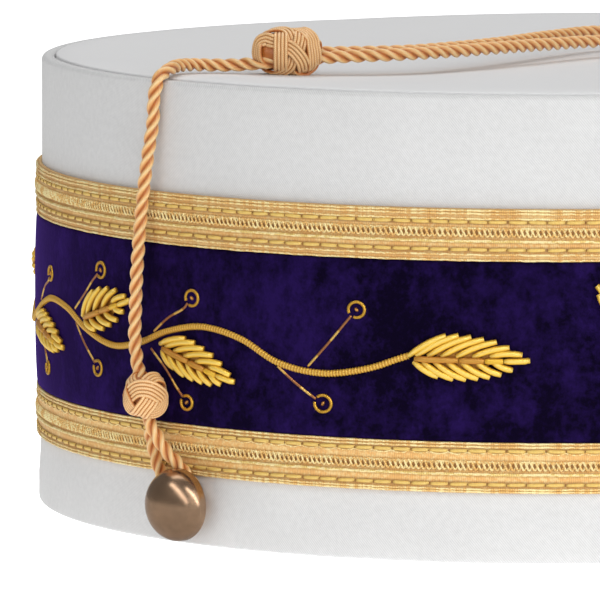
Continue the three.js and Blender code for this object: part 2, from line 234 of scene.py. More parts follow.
CROWN_KNOT = {
    "place": (-0.0586, -0.0360, 0.0878),
    "way": (0.968, -0.25, 0.0),
    "faces": (-0.25, -0.968, 0.0),
    "aside": (0.0, 0.0, 1.0),
    "half_length": 5.75,
    "half_width": 3.72,
    "bands": [
        (4, [(-0.9, -178, 0.2), (-0.9, -120, 0.1), (-1.0, -84, -0.3), (-1.0, -50, 0.3), (-1.0, 0, 0.42),
             (-1.0, 50, 0.3), (-1.0, 84, -0.3), (-0.9, 120, 0.1), (-0.9, 178, 0.2)]),
        (4, [(2.5, 150, -0.3), (2.5, 96, -0.3), (2.6, 66, 0.2), (2.5, 36, 0.3), (2.2, 12, -0.1),
             (2.0, -12, -0.8)]),
        (4, [(-4.2, -64, -0.6), (-4.9, -36, 0.2), (-5.2, 4, 0.3), (-4.8, 42, 0.3), (-3.8, 45, 0.3),
             (-2.6, 36, 0.0), (-1.0, 27, -0.4), (0.6, 16, 0.1), (1.9, 0, 0.35), (2.9, -24, 0.4),
             (3.2, -60, 0.3), (3.0, -96, -0.2), (2.6, -125, -0.8)]),
        (5, [(-0.3, 150, -0.6), (0.3, 112, 0.1), (1.9, 92, 0.4), (3.4, 78, 0.4), (4.4, 54, 0.3),
             (4.7, 24, 0.3), (4.9, -8, 0.3), (4.9, -50, 0.3), (4.7, -92, 0.0), (4.2, -125, -0.8)]),
        (3, [(-4.8, 118, -0.6), (-3.6, 88, 0.2), (-1.7, 88, 0.45), (0.0, 76, 0.35), (0.9, 50, 0.1),
             (1.3, 30, -0.8)]),
        (3, [(-4.6, -112, -0.4), (-3.6, -88, 0.2), (-2.3, -78, 0.4), (-0.5, -60, 0.4), (0.7, -40, 0.2),
             (1.2, -18, -0.2), (1.3, -2, -0.9)]),
        (4, [(1.0, -116, -0.6), (2.0, -94, 0.0), (3.6, -74, 0.25), (4.4, -48, 0.1), (4.2, -22, -0.8)]),
    ],
}

# Rows of the lace as shares of its width from the top edge: kind of thread and share.
UPPER_ROWS = [
    ("rib", 0.035),
    ("rib", 0.092),
    ("rib", 0.19),
    ("stitch", 0.25),
    ("rib", 0.375),
    ("braid", 0.445),
    ("ridge", 0.615),
    ("stitch", 0.775),
    ("rib", 0.87),
    ("rib", 0.975),
]
LOWER_ROWS = [
    ("rib", 0.02),
    ("rib", 0.085),
    ("stitch", 0.165),
    ("scallop", 0.225),
    ("rib", 0.385),
    ("braid", 0.455),
    ("ridge", 0.625),
    ("stitch", 0.825),
    ("rib", 0.92),
    ("rib", 0.97),
]

# Soft lights: name, place and size in metres and power in watts. A strip has two end places and a width.
LIGHT_AIM = (0.0, 0.0, 0.04)
BOX_LIGHTS = [
    ("front_box", (1.1, -2.0, 1.0), (2.4, 2.0), 10.5),
    ("top_box", (0.15, 0.55, 1.65), (2.0, 1.4), 17.0),
]
STRIP_LIGHTS = [
    ("strip_one", (-0.95, -0.1, 1.02), (-0.2, -1.36, 0.2), 0.2, 3.9),
    ("strip_two", (-0.1, -0.87, 1.1), (0.9, -1.02, 0.08), 0.16, 4.9),
]

# Painted shade on the lace's ground beside each kind of row: how dark it is, and over what share of the
# lace's width.
LACE_PAINTED_SHADE = {
    "rib": (0.45, 0.045),
    "stitch": (0.75, 0.06),
    "scallop": (0.1, 0.03),
    "braid": (0.8, 0.1),
    "ridge": (0.5, 0.05),
}


def metres(name, description, value, low, precision=3):
    """A length in metres, not less than low, that a user can change."""
    return bpy.props.FloatProperty(
        name=name, description=description, default=value, min=low,
        precision=precision, unit="LENGTH",
    )


def colour(name, description, value):
    """A colour that a user can change."""
    return bpy.props.FloatVectorProperty(
        name=name, description=description, default=value, size=3,
        min=0.0, max=1.0, subtype="COLOR",
    )


class ClothSizes(bpy.types.PropertyGroup):
    """Sizes of the white cloth and the velvet."""

    edge_round: metres("Edge round", "Radius of the wall's top edge", 0.9 * MM, 0.0)
    ripple: metres("Ripple", "How far the wall and its edge wander from a true circle", 0.16 * MM, 0.0)
    twill_pitch: metres(
        "Twill pitch", "Distance between the fine slanting lines of the white cloth",
        0.36 * MM, 0.0001, precision=5,
    )
    around: bpy.props.IntProperty(
        name="Steps around", description="How many steps the cloth has round the cap",
        default=384, min=48,
    )


class LaceSizes(bpy.types.PropertyGroup):
    """Sizes of the gold lace and its threads."""

    rib: metres(
        "Rib thread", "Radius of the small cords along the lace",
        0.21 * MM, 0.00005, precision=5,
    )
    stitch_length: metres(
        "Stitch length", "Distance from one sewing stitch to the next",
        3.5 * MM, 0.0005,
    )
    braid_pitch: metres(
        "Braid pitch", "Distance from one crossing of the braid's threads to the next",
        0.95 * MM, 0.0005,
    )
    braid_width: metres(
        "Braid width", "Width of the crossing threads in the middle of the lace",
        1.5 * MM, 0.0002,
    )


class GoldworkSizes(bpy.types.PropertyGroup):
    """Sizes of the laid and couched metal thread."""

    purl_width: metres(
        "Purl width", "Width of the coiled wire tubes that fill a leaf",
        1.2 * MM, 0.0002,
    )
    purl_gap: metres(
        "Purl spacing", "Distance along a leaf from one tube to the next",
        2.25 * MM, 0.0005,
    )
    stem_width: metres("Stem width", "Width of the ribbed stem", 1.3 * MM, 0.0002)
    stem_rib: metres("Stem rib", "Distance from one rib of the stem to the next", 0.6 * MM, 0.0002)
    wire_width: metres("Wire width", "Width of the tendrils' wire", 0.56 * MM, 0.0001, precision=5)


class CordSizes(bpy.types.PropertyGroup):
    """Sizes of the twisted cord and of the strands in its knots."""

    diameter: metres("Cord diameter", "Width over the crests of the twisted cord", 2.5 * MM, 0.0005)
    lay: metres("Lay", "Length in which a strand goes once round the cord", 7.6 * MM, 0.001)
    knot_strand: metres(
        "Knot strand", "Width of the thin strands that the knots are woven from",
        0.68 * MM, 0.0002,
    )


class FinishColours(bpy.types.PropertyGroup):
    """Colours of the cap's materials."""

    wall: colour("Wall cloth", "White cloth of the wall", (0.635, 0.635, 0.635))
    top: colour("Top cloth", "White cloth of the flat top", (0.74, 0.74, 0.745))
    velvet_dark: colour("Velvet, flat nap", "Velvet where the pile lies away", (0.0032, 0.0014, 0.0105))
    velvet_light: colour("Velvet, raised nap", "Velvet where pile catches light", (0.0145, 0.0054, 0.0610))
    # Painted sheen: the paler purple that the velvet's colour turns to at glancing angles.
    velvet_painted_sheen: colour("Velvet, glancing", "Velvet seen along the pile", (0.055, 0.016, 0.22))
    lace: colour("Lace ground", "Woven ground of the lace", (0.97, 0.525, 0.175))
    # Painted glint: colour of the bright specks painted on the lace's threads.
    lace_painted_glint: colour("Lace thread", "Raised metal threads of the lace", (1.0, 0.85, 0.44))
    # Painted shade: colour of the lace beside its rows, on the stitches' flanks and in the needle holes.
    lace_painted_shade: colour("Lace, deep", "Lace down between its threads", (0.26, 0.105, 0.02))
    stitch: colour("Stitch thread", "Yellow sewing thread", (1.0, 0.64, 0.17))
    bullion: colour("Bullion", "Coiled gold wire", (1.0, 0.585, 0.05))
    # Dull colour of the leaves' midribs, and painted shade on the coils' flanks, in the stem's rib dips
    # and on the pads.
    bullion_dull_and_shade: colour("Bullion, deep", "Coiled gold wire down between the coils", (0.52, 0.22, 0.04))
    wire_dull: colour("Couching", "Dull thread that wraps the tendrils", (0.50, 0.21, 0.085))
    cord: colour("Cord crest", "Silky strands of the cord", (1.0, 0.56, 0.21))
    # Painted shade: the cord's colour down in its grooves, on the knot strands' flanks and in the knots'
    # hearts.
    cord_painted_shade: colour("Cord groove", "Cord down between its strands", (0.50, 0.15, 0.025))
    brass: colour("Antique brass", "Darkened brass of the buttons", (0.40, 0.258, 0.163))
    floor: colour("Floor", "Pale floor", (0.5, 0.5, 0.5))


class StageSizes(bpy.types.PropertyGroup):
    """Place of the camera and strength of the lights."""

    distance: metres("Camera distance", "From the camera to the middle of the cap", 1.704, 0.3)
    elevation: bpy.props.FloatProperty(
        name="Camera elevation", description="How far the camera looks down",
        default=math.radians(6.08), unit="ROTATION",
    )
    azimuth: bpy.props.FloatProperty(
        name="Camera azimuth", description="How far round the cap the camera stands",
        default=math.radians(-14.5), unit="ROTATION",
    )
    lens: bpy.props.FloatProperty(
        name="Lens", description="Focal length in millimetres", default=543.2, min=20.0,
    )
    aim_right: bpy.props.FloatProperty(
        name="Aim right", default=248.0,
        description="How far right of the picture's centre the cap's axis is, in pixels of 600",
    )
    aim_up: bpy.props.FloatProperty(
        name="Aim up", default=26.0,
        description="How far above the picture's centre the cap's middle is, in pixels of 600",
    )
    room_light: bpy.props.FloatProperty(
        name="Room light", description="Strength of the even white light of the room",
        default=0.13, min=0.0,
    )


# Skins: grids of points made into meshes


def ring_skin(rings, along, around, closed=False, tone=None):
    """Skin over rings of points: rings[t, i, k] is point k of ring i of tube t.

    Neighbouring rings are joined by quads. A closed tube joins its last ring to its first, and an open
    one has a fan from the middle of each end ring. UV is (along, around); tone is one value per point.
    """
    tubes, count, sides, _ = rings.shape
    spans = count if closed else count - 1
    index = np.arange(tubes * count * sides).reshape(tubes, count, sides)
    here = index[:, :spans]
    ahead = np.roll(index, -1, axis=1)[:, :spans]
    quads = np.stack([here, np.roll(here, -1, 2), np.roll(ahead, -1, 2), ahead], axis=-1)
    along = np.broadcast_to(along, (tubes, spans + 1))
    u0 = np.broadcast_to(along[:, :-1, None], (tubes, spans, sides))
    u1 = np.broadcast_to(along[:, 1:, None], (tubes, spans, sides))
    v0 = np.broadcast_to(around[None, None, :-1], (tubes, spans, sides))
    v1 = np.broadcast_to(around[None, None, 1:], (tubes, spans, sides))
    uv = np.stack([u0, v0, u0, v1, u1, v1, u1, v0], axis=-1)
    points = rings.reshape(-1, 3)
    shades = np.broadcast_to(np.zeros(1) if tone is None else tone, (tubes, count, sides))
    shade = shades.reshape(-1)
    skin = {
        "points": points,
        "quads": quads.reshape(-1, 4),
        "quad_uv": uv.reshape(-1, 4, 2),
        "tris": np.zeros((0, 3), int),
        "tri_uv": np.zeros((0, 3, 2)),
        "tone": shade,
    }
    if not closed:
        first = index[:, 0]
        last = index[:, -1]
        poles = len(points) + np.arange(2 * tubes).reshape(tubes, 2)
        start = np.broadcast_to(poles[:, :1], first.shape)
        end = np.broadcast_to(poles[:, 1:], last.shape)
        tris = np.concatenate([
            np.stack([start, np.roll(first, -1, 1), first], -1),
            np.stack([end, last, np.roll(last, -1, 1)], -1),
        ], axis=1)
        start_u = np.broadcast_to(along[:, :1], first.shape)
        end_u = np.broadcast_to(along[:, -1:], last.shape)
        cap_u = np.stack([start_u, end_u], 1)
        cap_v = np.broadcast_to(around[None, None, :-1], cap_u.shape)
        tri_uv = np.repeat(np.stack([cap_u, cap_v], -1).reshape(-1, 1, 2), 3, axis=1)
        middle = np.stack([rings[:, 0].mean(1), rings[:, -1].mean(1)], axis=1).reshape(-1, 3)
        skin["points"] = np.concatenate([points, middle])
        skin["tris"] = tris.reshape(-1, 3)
        skin["tri_uv"] = tri_uv
        ends = np.stack([shades[:, 0].mean(1), shades[:, -1].mean(1)], axis=1).reshape(-1)
        skin["tone"] = np.concatenate([shade, ends])
    return outward(skin)


def turned_over(skin):
    """The same skin with every face turned to its other side."""
    other = dict(skin)
    for name in ("quads", "quad_uv", "tris", "tri_uv"):
        other[name] = skin[name][:, ::-1]
    return other


def outward(skin):
    """The skin with its faces outwards: its signed volume, a sum of corner products, is positive."""
    p = skin["points"] - skin["points"].mean(0)
    q = skin["quads"]
    t = skin["tris"]
    volume = np.einsum("ij,ij->", p[q[:, 0]], np.cross(p[q[:, 1]], p[q[:, 2]]))
    volume += np.einsum("ij,ij->", p[q[:, 0]], np.cross(p[q[:, 2]], p[q[:, 3]]))
    volume += np.einsum("ij,ij->", p[t[:, 0]], np.cross(p[t[:, 1]], p[t[:, 2]]))
    return turned_over(skin) if volume < 0 else skin


def mirrored(skin):
    """The skin seen in a mirror across the cap's left-right middle, its faces still outwards."""
    other = turned_over(skin)
    other["points"] = skin["points"] * np.array([-1.0, 1.0, 1.0])
    return other


def make_piece(name, parts, nodes=()):
    """One object from (skin, material) pairs, riding on the cap and standing for the CAD nodes named."""
    points, faces, uvs, tones, materials, face_material = [], [], [], [], [], []
    offset = 0
    for skin, material in parts:
        if material not in materials:
            materials.append(material)
        number = materials.index(material)
        points.append(skin["points"])
        tones.append(skin["tone"])
        faces += (skin["quads"] + offset).tolist() + (skin["tris"] + offset).tolist()
        uvs += [skin["quad_uv"].reshape(-1, 2), skin["tri_uv"].reshape(-1, 2)]
        face_material.append(np.full(len(skin["quads"]) + len(skin["tris"]), number))
        offset += len(skin["points"])
    mesh = bpy.data.meshes.new(name)
    mesh.from_pydata(np.concatenate(points).tolist(), [], faces)
    layer = mesh.uv_layers.new(name="threads")
    layer.data.foreach_set("uv", np.concatenate(uvs).astype(np.float32).ravel())
    attribute = mesh.attributes.new("tone", "FLOAT", "POINT")
    attribute.data.foreach_set("value", np.concatenate(tones).astype(np.float32))
    mesh.polygons.foreach_set("material_index", np.concatenate(face_material).astype(np.int32))
    mesh.polygons.foreach_set("use_smooth", np.ones(len(faces), bool))
    for material in materials:
        mesh.materials.append(material)
    mesh.update()
    obj = bpy.data.objects.new(name, mesh)
    bpy.context.scene.collection.objects.link(obj)
    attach(obj, "root")
    if nodes:
        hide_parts(*nodes)
    return obj


# Lines and tubes


def smooth_route(points, steps):
    """Centripetal Catmull-Rom curve: between two route points a cubic whose end slopes come from the
    neighbours, weighted by the square roots of the gaps between the points."""
    p = np.asarray(points, float)
    before = np.concatenate([2 * p[:1] - p[1:2], p[:-2]])
    after = np.concatenate([p[2:], 2 * p[-1:] - p[-2:-1]])
    start, end = p[:-1], p[1:]
    d0 = np.sqrt(np.linalg.norm(start - before, axis=1))[:, None]
    d1 = np.sqrt(np.linalg.norm(end - start, axis=1))[:, None]
    d2 = np.sqrt(np.linalg.norm(after - end, axis=1))[:, None]
    slope0 = ((start - before) / d0 - (end - before) / (d0 + d1) + (end - start) / d1) * d1
    slope1 = ((end - start) / d1 - (after - start) / (d1 + d2) + (after - end) / d2) * d1
    w = np.linspace(0, 1, steps, endpoint=False)[None, :, None]
    c2 = -3 * start + 3 * end - 2 * slope0 - slope1
    c3 = 2 * start - 2 * end + slope0 + slope1
    line = start[:, None] + slope0[:, None] * w + c2[:, None] * w**2 + c3[:, None] * w**3
    return np.concatenate([line.reshape(-1, p.shape[1]), p[-1:]])


def run_length(line):
    """Distance from the start along a line of points."""
    return np.concatenate([[0.0], np.cumsum(np.linalg.norm(np.diff(line, axis=0), axis=1))])


def even_line(line, step):
    """The line sampled again at equal distances of about step."""
    run = run_length(line)
    marks = np.linspace(0, run[-1], max(2, int(round(run[-1] / step)) + 1))
    return np.stack([np.interp(marks, run, line[:, i]) for i in range(line.shape[1])], axis=1)


def unit(vectors):
    """Vectors made one unit long."""
    return vectors / np.maximum(np.linalg.norm(vectors, axis=-1, keepdims=True), 1e-12)


def frames(lines, outs, closed=False):
    """Tangent, outward and sideways unit vectors along lines[t, i]: the outward one is outs less its
    share along the tangent, and the sideways one is their cross product."""
    if closed:
        way = unit(np.roll(lines, -1, axis=1) - np.roll(lines, 1, axis=1))
    else:
        way = unit(np.gradient(lines, axis=1))
    out = unit(outs - np.sum(outs * way, axis=-1, keepdims=True) * way)
    return way, out, np.cross(way, out)


def tube_skin(lines, outs, radii, sides, closed=False, tone=None, flat=1.0, edge=0.0):
    """Round tubes along lines[t, i]: ring point k stands off the line by
    radius * (cos(a) * flat * outward + sin(a) * sideways), with a = 2 pi k / sides.
    The tone grows by edge * (1 - cos(a))^1.5 from the outermost line to the sides: painted shade on the
    tube's flanks."""
    way, out, side = frames(lines, outs, closed)
    angle = 2 * math.pi * np.arange(sides) / sides
    radii = np.broadcast_to(radii, lines.shape[:2])[..., None, None]
    spread = out[:, :, None] * (np.cos(angle) * flat)[:, None] + side[:, :, None] * np.sin(angle)[:, None]
    rings = lines[:, :, None] + radii * spread
    ahead = np.roll(lines, -1, axis=1) if closed else lines[:, 1:]
    gaps = np.linalg.norm(ahead - lines[:, : ahead.shape[1]], axis=-1)
    along = np.concatenate([np.zeros((len(lines), 1)), np.cumsum(gaps, axis=1)], axis=1)
    base = np.zeros(lines.shape[:2]) if tone is None else np.broadcast_to(tone, lines.shape[:2])
    shade = np.clip(base[..., None] + edge * np.clip(1 - np.cos(angle), 0, 1) ** 1.5, 0, 1)
    girth = 2 * math.pi * float(np.mean(radii))
    return ring_skin(rings, along, girth * np.arange(sides + 1) / sides, closed, shade)


def turned_skin(profile, around, ripple=0.0, seed=0, tone=None):
    """Ring-shaped solid: the closed profile of (radius, height) goes round the upright axis.
    The radius wanders by ripple times a sum of five slow sines of the turn."""
    profile = np.asarray(profile, float)
    turn = 2 * math.pi * np.arange(around) / around
    rng = np.random.default_rng(seed)
    waves = np.arange(2, 7)
    wander = (np.sin(turn[:, None] * waves + rng.uniform(0, 6.28, 5)) / waves).sum(1) * ripple
    radius = profile[None, :, 0] + wander[:, None]
    height = np.broadcast_to(profile[None, :, 1], radius.shape)
    rings = np.stack([radius * np.sin(turn)[:, None], -radius * np.cos(turn)[:, None], height], -1)
    loop = np.concatenate([profile, profile[:1]])
    along = np.linspace(0, 2 * math.pi * profile[:, 0].max(), around + 1)
    return ring_skin(rings[None], along, run_length(loop), closed=True, tone=tone)


def bend(centre, radius, start, end, steps):
    """Points of an arc in the profile plane from start to end degrees."""
    angle = np.radians(np.linspace(start, end, steps))
    return np.stack([centre[0] + radius * np.cos(angle), centre[1] + radius * np.sin(angle)], axis=1)


def on_band(along, height, proud):
    """Places on the velvet: distance along it from the front, height, and how far they stand off it."""
    radius = STITCH_RADIUS + proud
    angle = along / STITCH_RADIUS
    return np.stack(np.broadcast_arrays(radius * np.sin(angle), -radius * np.cos(angle), height), -1)


def band_point(turn, rise):
    """Distance along the velvet and height that a turn in degrees and a rise stand for."""
    return np.array([math.radians(turn) * STITCH_RADIUS, VINE_HEIGHT + rise * VELVET_WIDTH])


def radial(points):
    """Outward direction from the cap's upright axis."""
    return unit(points * np.array([1.0, 1.0, 0.0]))


def off_cap(points):
    """Direction away from a point low inside the cap: outwards on the wall and upwards on the top."""
    return unit(points - np.array([0.0, 0.0, 0.03]))


# Helpers for material nodes


def new_group(name, inputs, outputs):
    """Empty shader node group with float or vector sockets, and its input and output nodes."""
    group = bpy.data.node_groups.new(name, "ShaderNodeTree")
    for label, kind, value in inputs:
        socket = group.interface.new_socket(name=label, in_out="INPUT", socket_type=kind)
        if value is not None:
            socket.default_value = value
    for label, kind in outputs:
        group.interface.new_socket(name=label, in_out="OUTPUT", socket_type=kind)
    return group, group.nodes.new("NodeGroupInput"), group.nodes.new("NodeGroupOutput")


def maths(tree, operation, first, second=None, third=None):
    """A Math node; each of its inputs is a socket or a number."""
    node = tree.nodes.new("ShaderNodeMath")
    node.operation = operation
    for i, value in enumerate((first, second, third)):
        if value is None:
            continue
        if isinstance(value, (int, float)):
            node.inputs[i].default_value = value
        else:
            tree.links.new(value, node.inputs[i])
    return node.outputs[0]


def noise(tree, vector, scale, detail=2.0, roughness=0.5, stretch=None):
    """A Noise texture on the vector, which can be stretched first."""
    if stretch is not None:
        mapping = tree.nodes.new("ShaderNodeMapping")
        mapping.inputs["Scale"].default_value = stretch
        tree.links.new(vector, mapping.inputs["Vector"])
        vector = mapping.outputs["Vector"]
    node = tree.nodes.new("ShaderNodeTexNoise")
    node.inputs["Scale"].default_value = scale
    node.inputs["Detail"].default_value = detail
    node.inputs["Roughness"].default_value = roughness
    tree.links.new(vector, node.inputs["Vector"])
    return node.outputs["Fac"]


def spread_range(tree, value, low, high, to_low=0.0, to_high=1.0):
    """A Map Range node that clamps."""
    node = tree.nodes.new("ShaderNodeMapRange")
    node.inputs["From Min"].default_value = low
    node.inputs["From Max"].default_value = high
    node.inputs["To Min"].default_value = to_low
    node.inputs["To Max"].default_value = to_high
    tree.links.new(value, node.inputs["Value"])
    return node.outputs["Result"]


def mixed(tree, factor, first, second):
    """A colour between two; each is a socket or three numbers."""
    node = tree.nodes.new("ShaderNodeMix")
    node.data_type = "RGBA"
    tree.links.new(factor, node.inputs["Factor"])
    for name, value in (("A", first), ("B", second)):
        socket = [s for s in node.inputs if s.name == name and s.type == "RGBA"][0]
        if isinstance(value, bpy.types.NodeSocket):
            tree.links.new(value, socket)
        else:
            socket.default_value = (*value, 1.0)
    return [s for s in node.outputs if s.type == "RGBA"][0]


def line_weave_group():
    """Fine parallel lines: a sine of the vector's share along Lines, broken up by noise."""
    group, given, made = new_group(
        "fine_lines",
        [
            ("Vector", "NodeSocketVector", None),
            ("Lines", "NodeSocketVector", (1000.0, 0.0, 0.0)),
            ("Break", "NodeSocketFloat", 0.5),
        ],
        [("Height", "NodeSocketFloat"), ("Shade", "NodeSocketFloat")],
    )
    dot = group.nodes.new("ShaderNodeVectorMath")
    dot.operation = "DOT_PRODUCT"
    group.links.new(given.outputs["Vector"], dot.inputs[0])
    group.links.new(given.outputs["Lines"], dot.inputs[1])
    sine = maths(group, "SINE", maths(group, "MULTIPLY", dot.outputs["Value"], 2 * math.pi))
    grain = noise(group, given.outputs["Vector"], 900.0, 2.0)
    speck = maths(group, "MULTIPLY", maths(group, "SUBTRACT", grain, 0.5), given.outputs["Break"])
    height = maths(group, "ADD", maths(group, "MULTIPLY", sine, 0.5), speck)
    group.links.new(height, made.inputs["Height"])
    group.links.new(maths(group, "MULTIPLY_ADD", height, 0.5, 0.5), made.inputs["Shade"])
    return group


def glint_group():
    """Painted glints of metal thread: bright specks of a fine noise, more of them where a slower noise is
    high.
    """
    group, given, made = new_group(
        "thread_glint",
        [
            ("Vector", "NodeSocketVector", None),
            ("Speck Scale", "NodeSocketFloat", 1400.0),
            ("Amount", "NodeSocketFloat", 0.5),
        ],
        [("Glint", "NodeSocketFloat")],
    )
    speck = group.nodes.new("ShaderNodeTexNoise")
    speck.inputs["Detail"].default_value = 2.0
    speck.inputs["Roughness"].default_value = 0.7
    group.links.new(given.outputs["Vector"], speck.inputs["Vector"])
    group.links.new(given.outputs["Speck Scale"], speck.inputs["Scale"])
    wide = noise(group, given.outputs["Vector"], 160.0, 2.0)
    total = maths(group, "ADD", speck.outputs["Fac"], maths(group, "MULTIPLY", wide, 0.6))
    sharp = spread_range(group, total, 0.74, 0.92)
    group.links.new(maths(group, "MULTIPLY", sharp, given.outputs["Amount"]), made.inputs["Glint"])
    return group


def new_material(name, roughness, metallic=0.0):
    """A new material, its node tree and its Principled shader."""
    material = bpy.data.materials.new(name)
    material.use_nodes = True
    tree = material.node_tree
    shader = tree.nodes["Principled BSDF"]
    shader.inputs["Roughness"].default_value = roughness
    shader.inputs["Metallic"].default_value = metallic
    return material, tree, shader


def bump(tree, shader, height, strength, distance):
    """Bump from a height onto the shader's Normal."""
    node = tree.nodes.new("ShaderNodeBump")
    node.inputs["Strength"].default_value = strength
    node.inputs["Distance"].default_value = distance
    tree.links.new(height, node.inputs["Height"])
    tree.links.new(node.outputs["Normal"], shader.inputs["Normal"])


def placed(tree, group, vector, **values):
    """A node group in a material, fed with the vector and with its own values."""
    node = tree.nodes.new("ShaderNodeGroup")
    node.node_tree = group
    tree.links.new(vector, node.inputs["Vector"])
    for name, value in values.items():
        node.inputs[name.replace("_", " ")].default_value = value
    return node


def own_uv(tree):
    """The piece's own UV map, in metres along and shares or metres around."""
    node = tree.nodes.new("ShaderNodeUVMap")
    node.uv_map = "threads"
    return node.outputs["UV"]


def object_place(tree):
    """Object coordinates, in metres."""
    return tree.nodes.new("ShaderNodeTexCoord").outputs["Object"]


def tone_value(tree):
    """The piece's own tone attribute."""
    node = tree.nodes.new("ShaderNodeAttribute")
    node.attribute_name = "tone"
    return node.outputs["Fac"]


def scaled_colour(value, share):
    """A colour made darker or lighter."""
    return tuple(min(1.0, c * share) for c in value)


# Materials


def cloth_material(name, base, vector_of, pitch, contrast):
    """White cloth with fine slanting twill lines and a slow unevenness."""
    material, tree, shader = new_material(name, 0.78)
    vector = vector_of(tree)
    lean = (0.77 / pitch, 0.64 / pitch, 0.0)
    lines = placed(tree, bpy.data.node_groups["fine_lines"], vector, Lines=lean, Break=0.9)
    slow = noise(tree, vector, 60.0, 3.0)
    twill = maths(tree, "MULTIPLY", lines.outputs["Shade"], 0.75)
    shade = maths(tree, "ADD", twill, maths(tree, "MULTIPLY", slow, 0.25))
    made = mixed(tree, shade, scaled_colour(base, 1 - contrast), scaled_colour(base, 1 + contrast))
    tree.links.new(made, shader.inputs["Base Color"])
    shader.inputs["Sheen Weight"].default_value = 0.12
    shader.inputs["Sheen Roughness"].default_value = 0.4
    shader.inputs["Specular IOR Level"].default_value = 0.25
    bump(tree, shader, lines.outputs["Height"], 0.12, 0.00005)
    return material


def velvet_material(colours):
    """Deep velvet: its pile lies in patches and upright streaks, with a soft sheen at glancing angles,
    partly real sheen and partly a paler purple painted into its colour as painted sheen.
    """
    material, tree, shader = new_material("velvet_nap", 0.85)
    place = object_place(tree)
    streaks = noise(tree, place, 48.0, 4.0, 0.6, (1.0, 1.0, 0.7))
    patches = noise(tree, place, 210.0, 4.0, 0.75, (1.0, 1.0, 0.9))
    pile = noise(tree, place, 1100.0, 2.0, 0.7)
    half = maths(tree, "MULTIPLY", patches, 0.5)
    total = maths(tree, "ADD", maths(tree, "MULTIPLY", streaks, 0.5), half)
    shade = spread_range(tree, total, 0.45, 0.62)
    fuzz = maths(tree, "ADD", shade, maths(tree, "MULTIPLY", maths(tree, "SUBTRACT", pile, 0.5), 0.9))
    made = mixed(tree, fuzz, tuple(colours.velvet_dark), tuple(colours.velvet_light))
    # Painted sheen: the colour turns towards the glancing velvet colour where the surface is seen edge-on.
    weight = tree.nodes.new("ShaderNodeLayerWeight")
    weight.inputs["Blend"].default_value = 0.3
    glancing = maths(tree, "POWER", weight.outputs["Facing"], 2.2)
    edge = mixed(tree, glancing, made, tuple(colours.velvet_painted_sheen))
    tree.links.new(edge, shader.inputs["Base Color"])
    shader.inputs["Sheen Weight"].default_value = 0.03
    shader.inputs["Sheen Roughness"].default_value = 0.35
    shader.inputs["Sheen Tint"].default_value = (0.35, 0.12, 1.0, 1.0)
    shader.inputs["Specular IOR Level"].default_value = 0.02
    bump(tree, shader, pile, 0.5, 0.0002)
    return material


def lace_material(name, low, high, deep, roughness, metallic, speck, amount, lines):
    """Woven or laid metal thread: fine cross lines, painted glints as specks of the brighter colour, and
    painted shade of the deep colour where the tone attribute is high."""
    material, tree, shader = new_material(name, roughness, metallic)
    vector = own_uv(tree)
    glint = placed(tree, bpy.data.node_groups["thread_glint"], vector, Speck_Scale=speck, Amount=amount)
    cross = placed(tree, bpy.data.node_groups["fine_lines"], vector, Lines=(lines, 0.0, 0.0), Break=0.8)
    dark = mixed(tree, cross.outputs["Shade"], scaled_colour(low, 0.68), scaled_colour(low, 1.12))
    # Painted glints: specks of the bright colour over the threads.
    made = mixed(tree, glint.outputs["Glint"], dark, high)
    # Painted shade: the deep colour where the tone attribute is high.
    sunk = mixed(tree, tone_value(tree), made, deep)
    tree.links.new(sunk, shader.inputs["Base Color"])
    bump(tree, shader, cross.outputs["Height"], 0.5, 0.0001)
    return material


def gold_material(name, low, high, roughness, lines, metallic=0.85):
    """Coiled gold wire: fine ribs round the tube, a painted highlight on its crest, and the low colour
    where the tone is high, as painted shade on flanks, rib dips and pads and as the real dull colour of
    midribs and couching.
    """
    material, tree, shader = new_material(name, roughness, metallic)
    weave = bpy.data.node_groups["fine_lines"]
    ribs = placed(tree, weave, own_uv(tree), Lines=(lines, 0.0, 0.0), Break=0.3)
    bright = mixed(tree, ribs.outputs["Shade"], scaled_colour(high, 0.82), scaled_colour(high, 1.12))
    tone = tone_value(tree)
    # Painted highlight: a paler colour on the tube's crest.
    pale = tuple(min(1.0, c + 0.13) for c in high)
    crest = mixed(tree, spread_range(tree, tone, 0.0, 0.13), pale, bright)
    # Painted shade where the tone is high, except on midribs and couching, where it is their real dull
    # colour.
    made = mixed(tree, spread_range(tree, tone, 0.1, 0.9), crest, low)
    tree.links.new(made, shader.inputs["Base Color"])
    bump(tree, shader, ribs.outputs["Height"], 0.35, 0.00006)
    return material


def cord_material(name, crest, deep, slant, relief):
    """Silky cord: fine filaments along the strands, a painted highlight paler on the crests, and painted
    shade of the deeper colour down in the grooves.
    """
    material, tree, shader = new_material(name, 0.3)
    vector = own_uv(tree)
    fibre = placed(tree, bpy.data.node_groups["fine_lines"], vector, Lines=slant, Break=0.7)
    tone = tone_value(tree)
    # Painted highlight: a paler colour on the strands' crests.
    pale = tuple(min(1.0, 1.05 * c + 0.2) for c in crest)
    body = mixed(tree, spread_range(tree, tone, 0.0, 0.16), pale, crest)
    bright = mixed(tree, fibre.outputs["Shade"], scaled_colour(crest, 0.74), body)
    # Painted shade: the groove colour where the tone is high.
    made = mixed(tree, spread_range(tree, tone, 0.12, 0.8), bright, deep)
    tree.links.new(made, shader.inputs["Base Color"])
    shader.inputs["Sheen Weight"].default_value = 0.1
    shader.inputs["Specular IOR Level"].default_value = 0.6
    bump(tree, shader, fibre.outputs["Height"], relief, 0.0001)
    return material


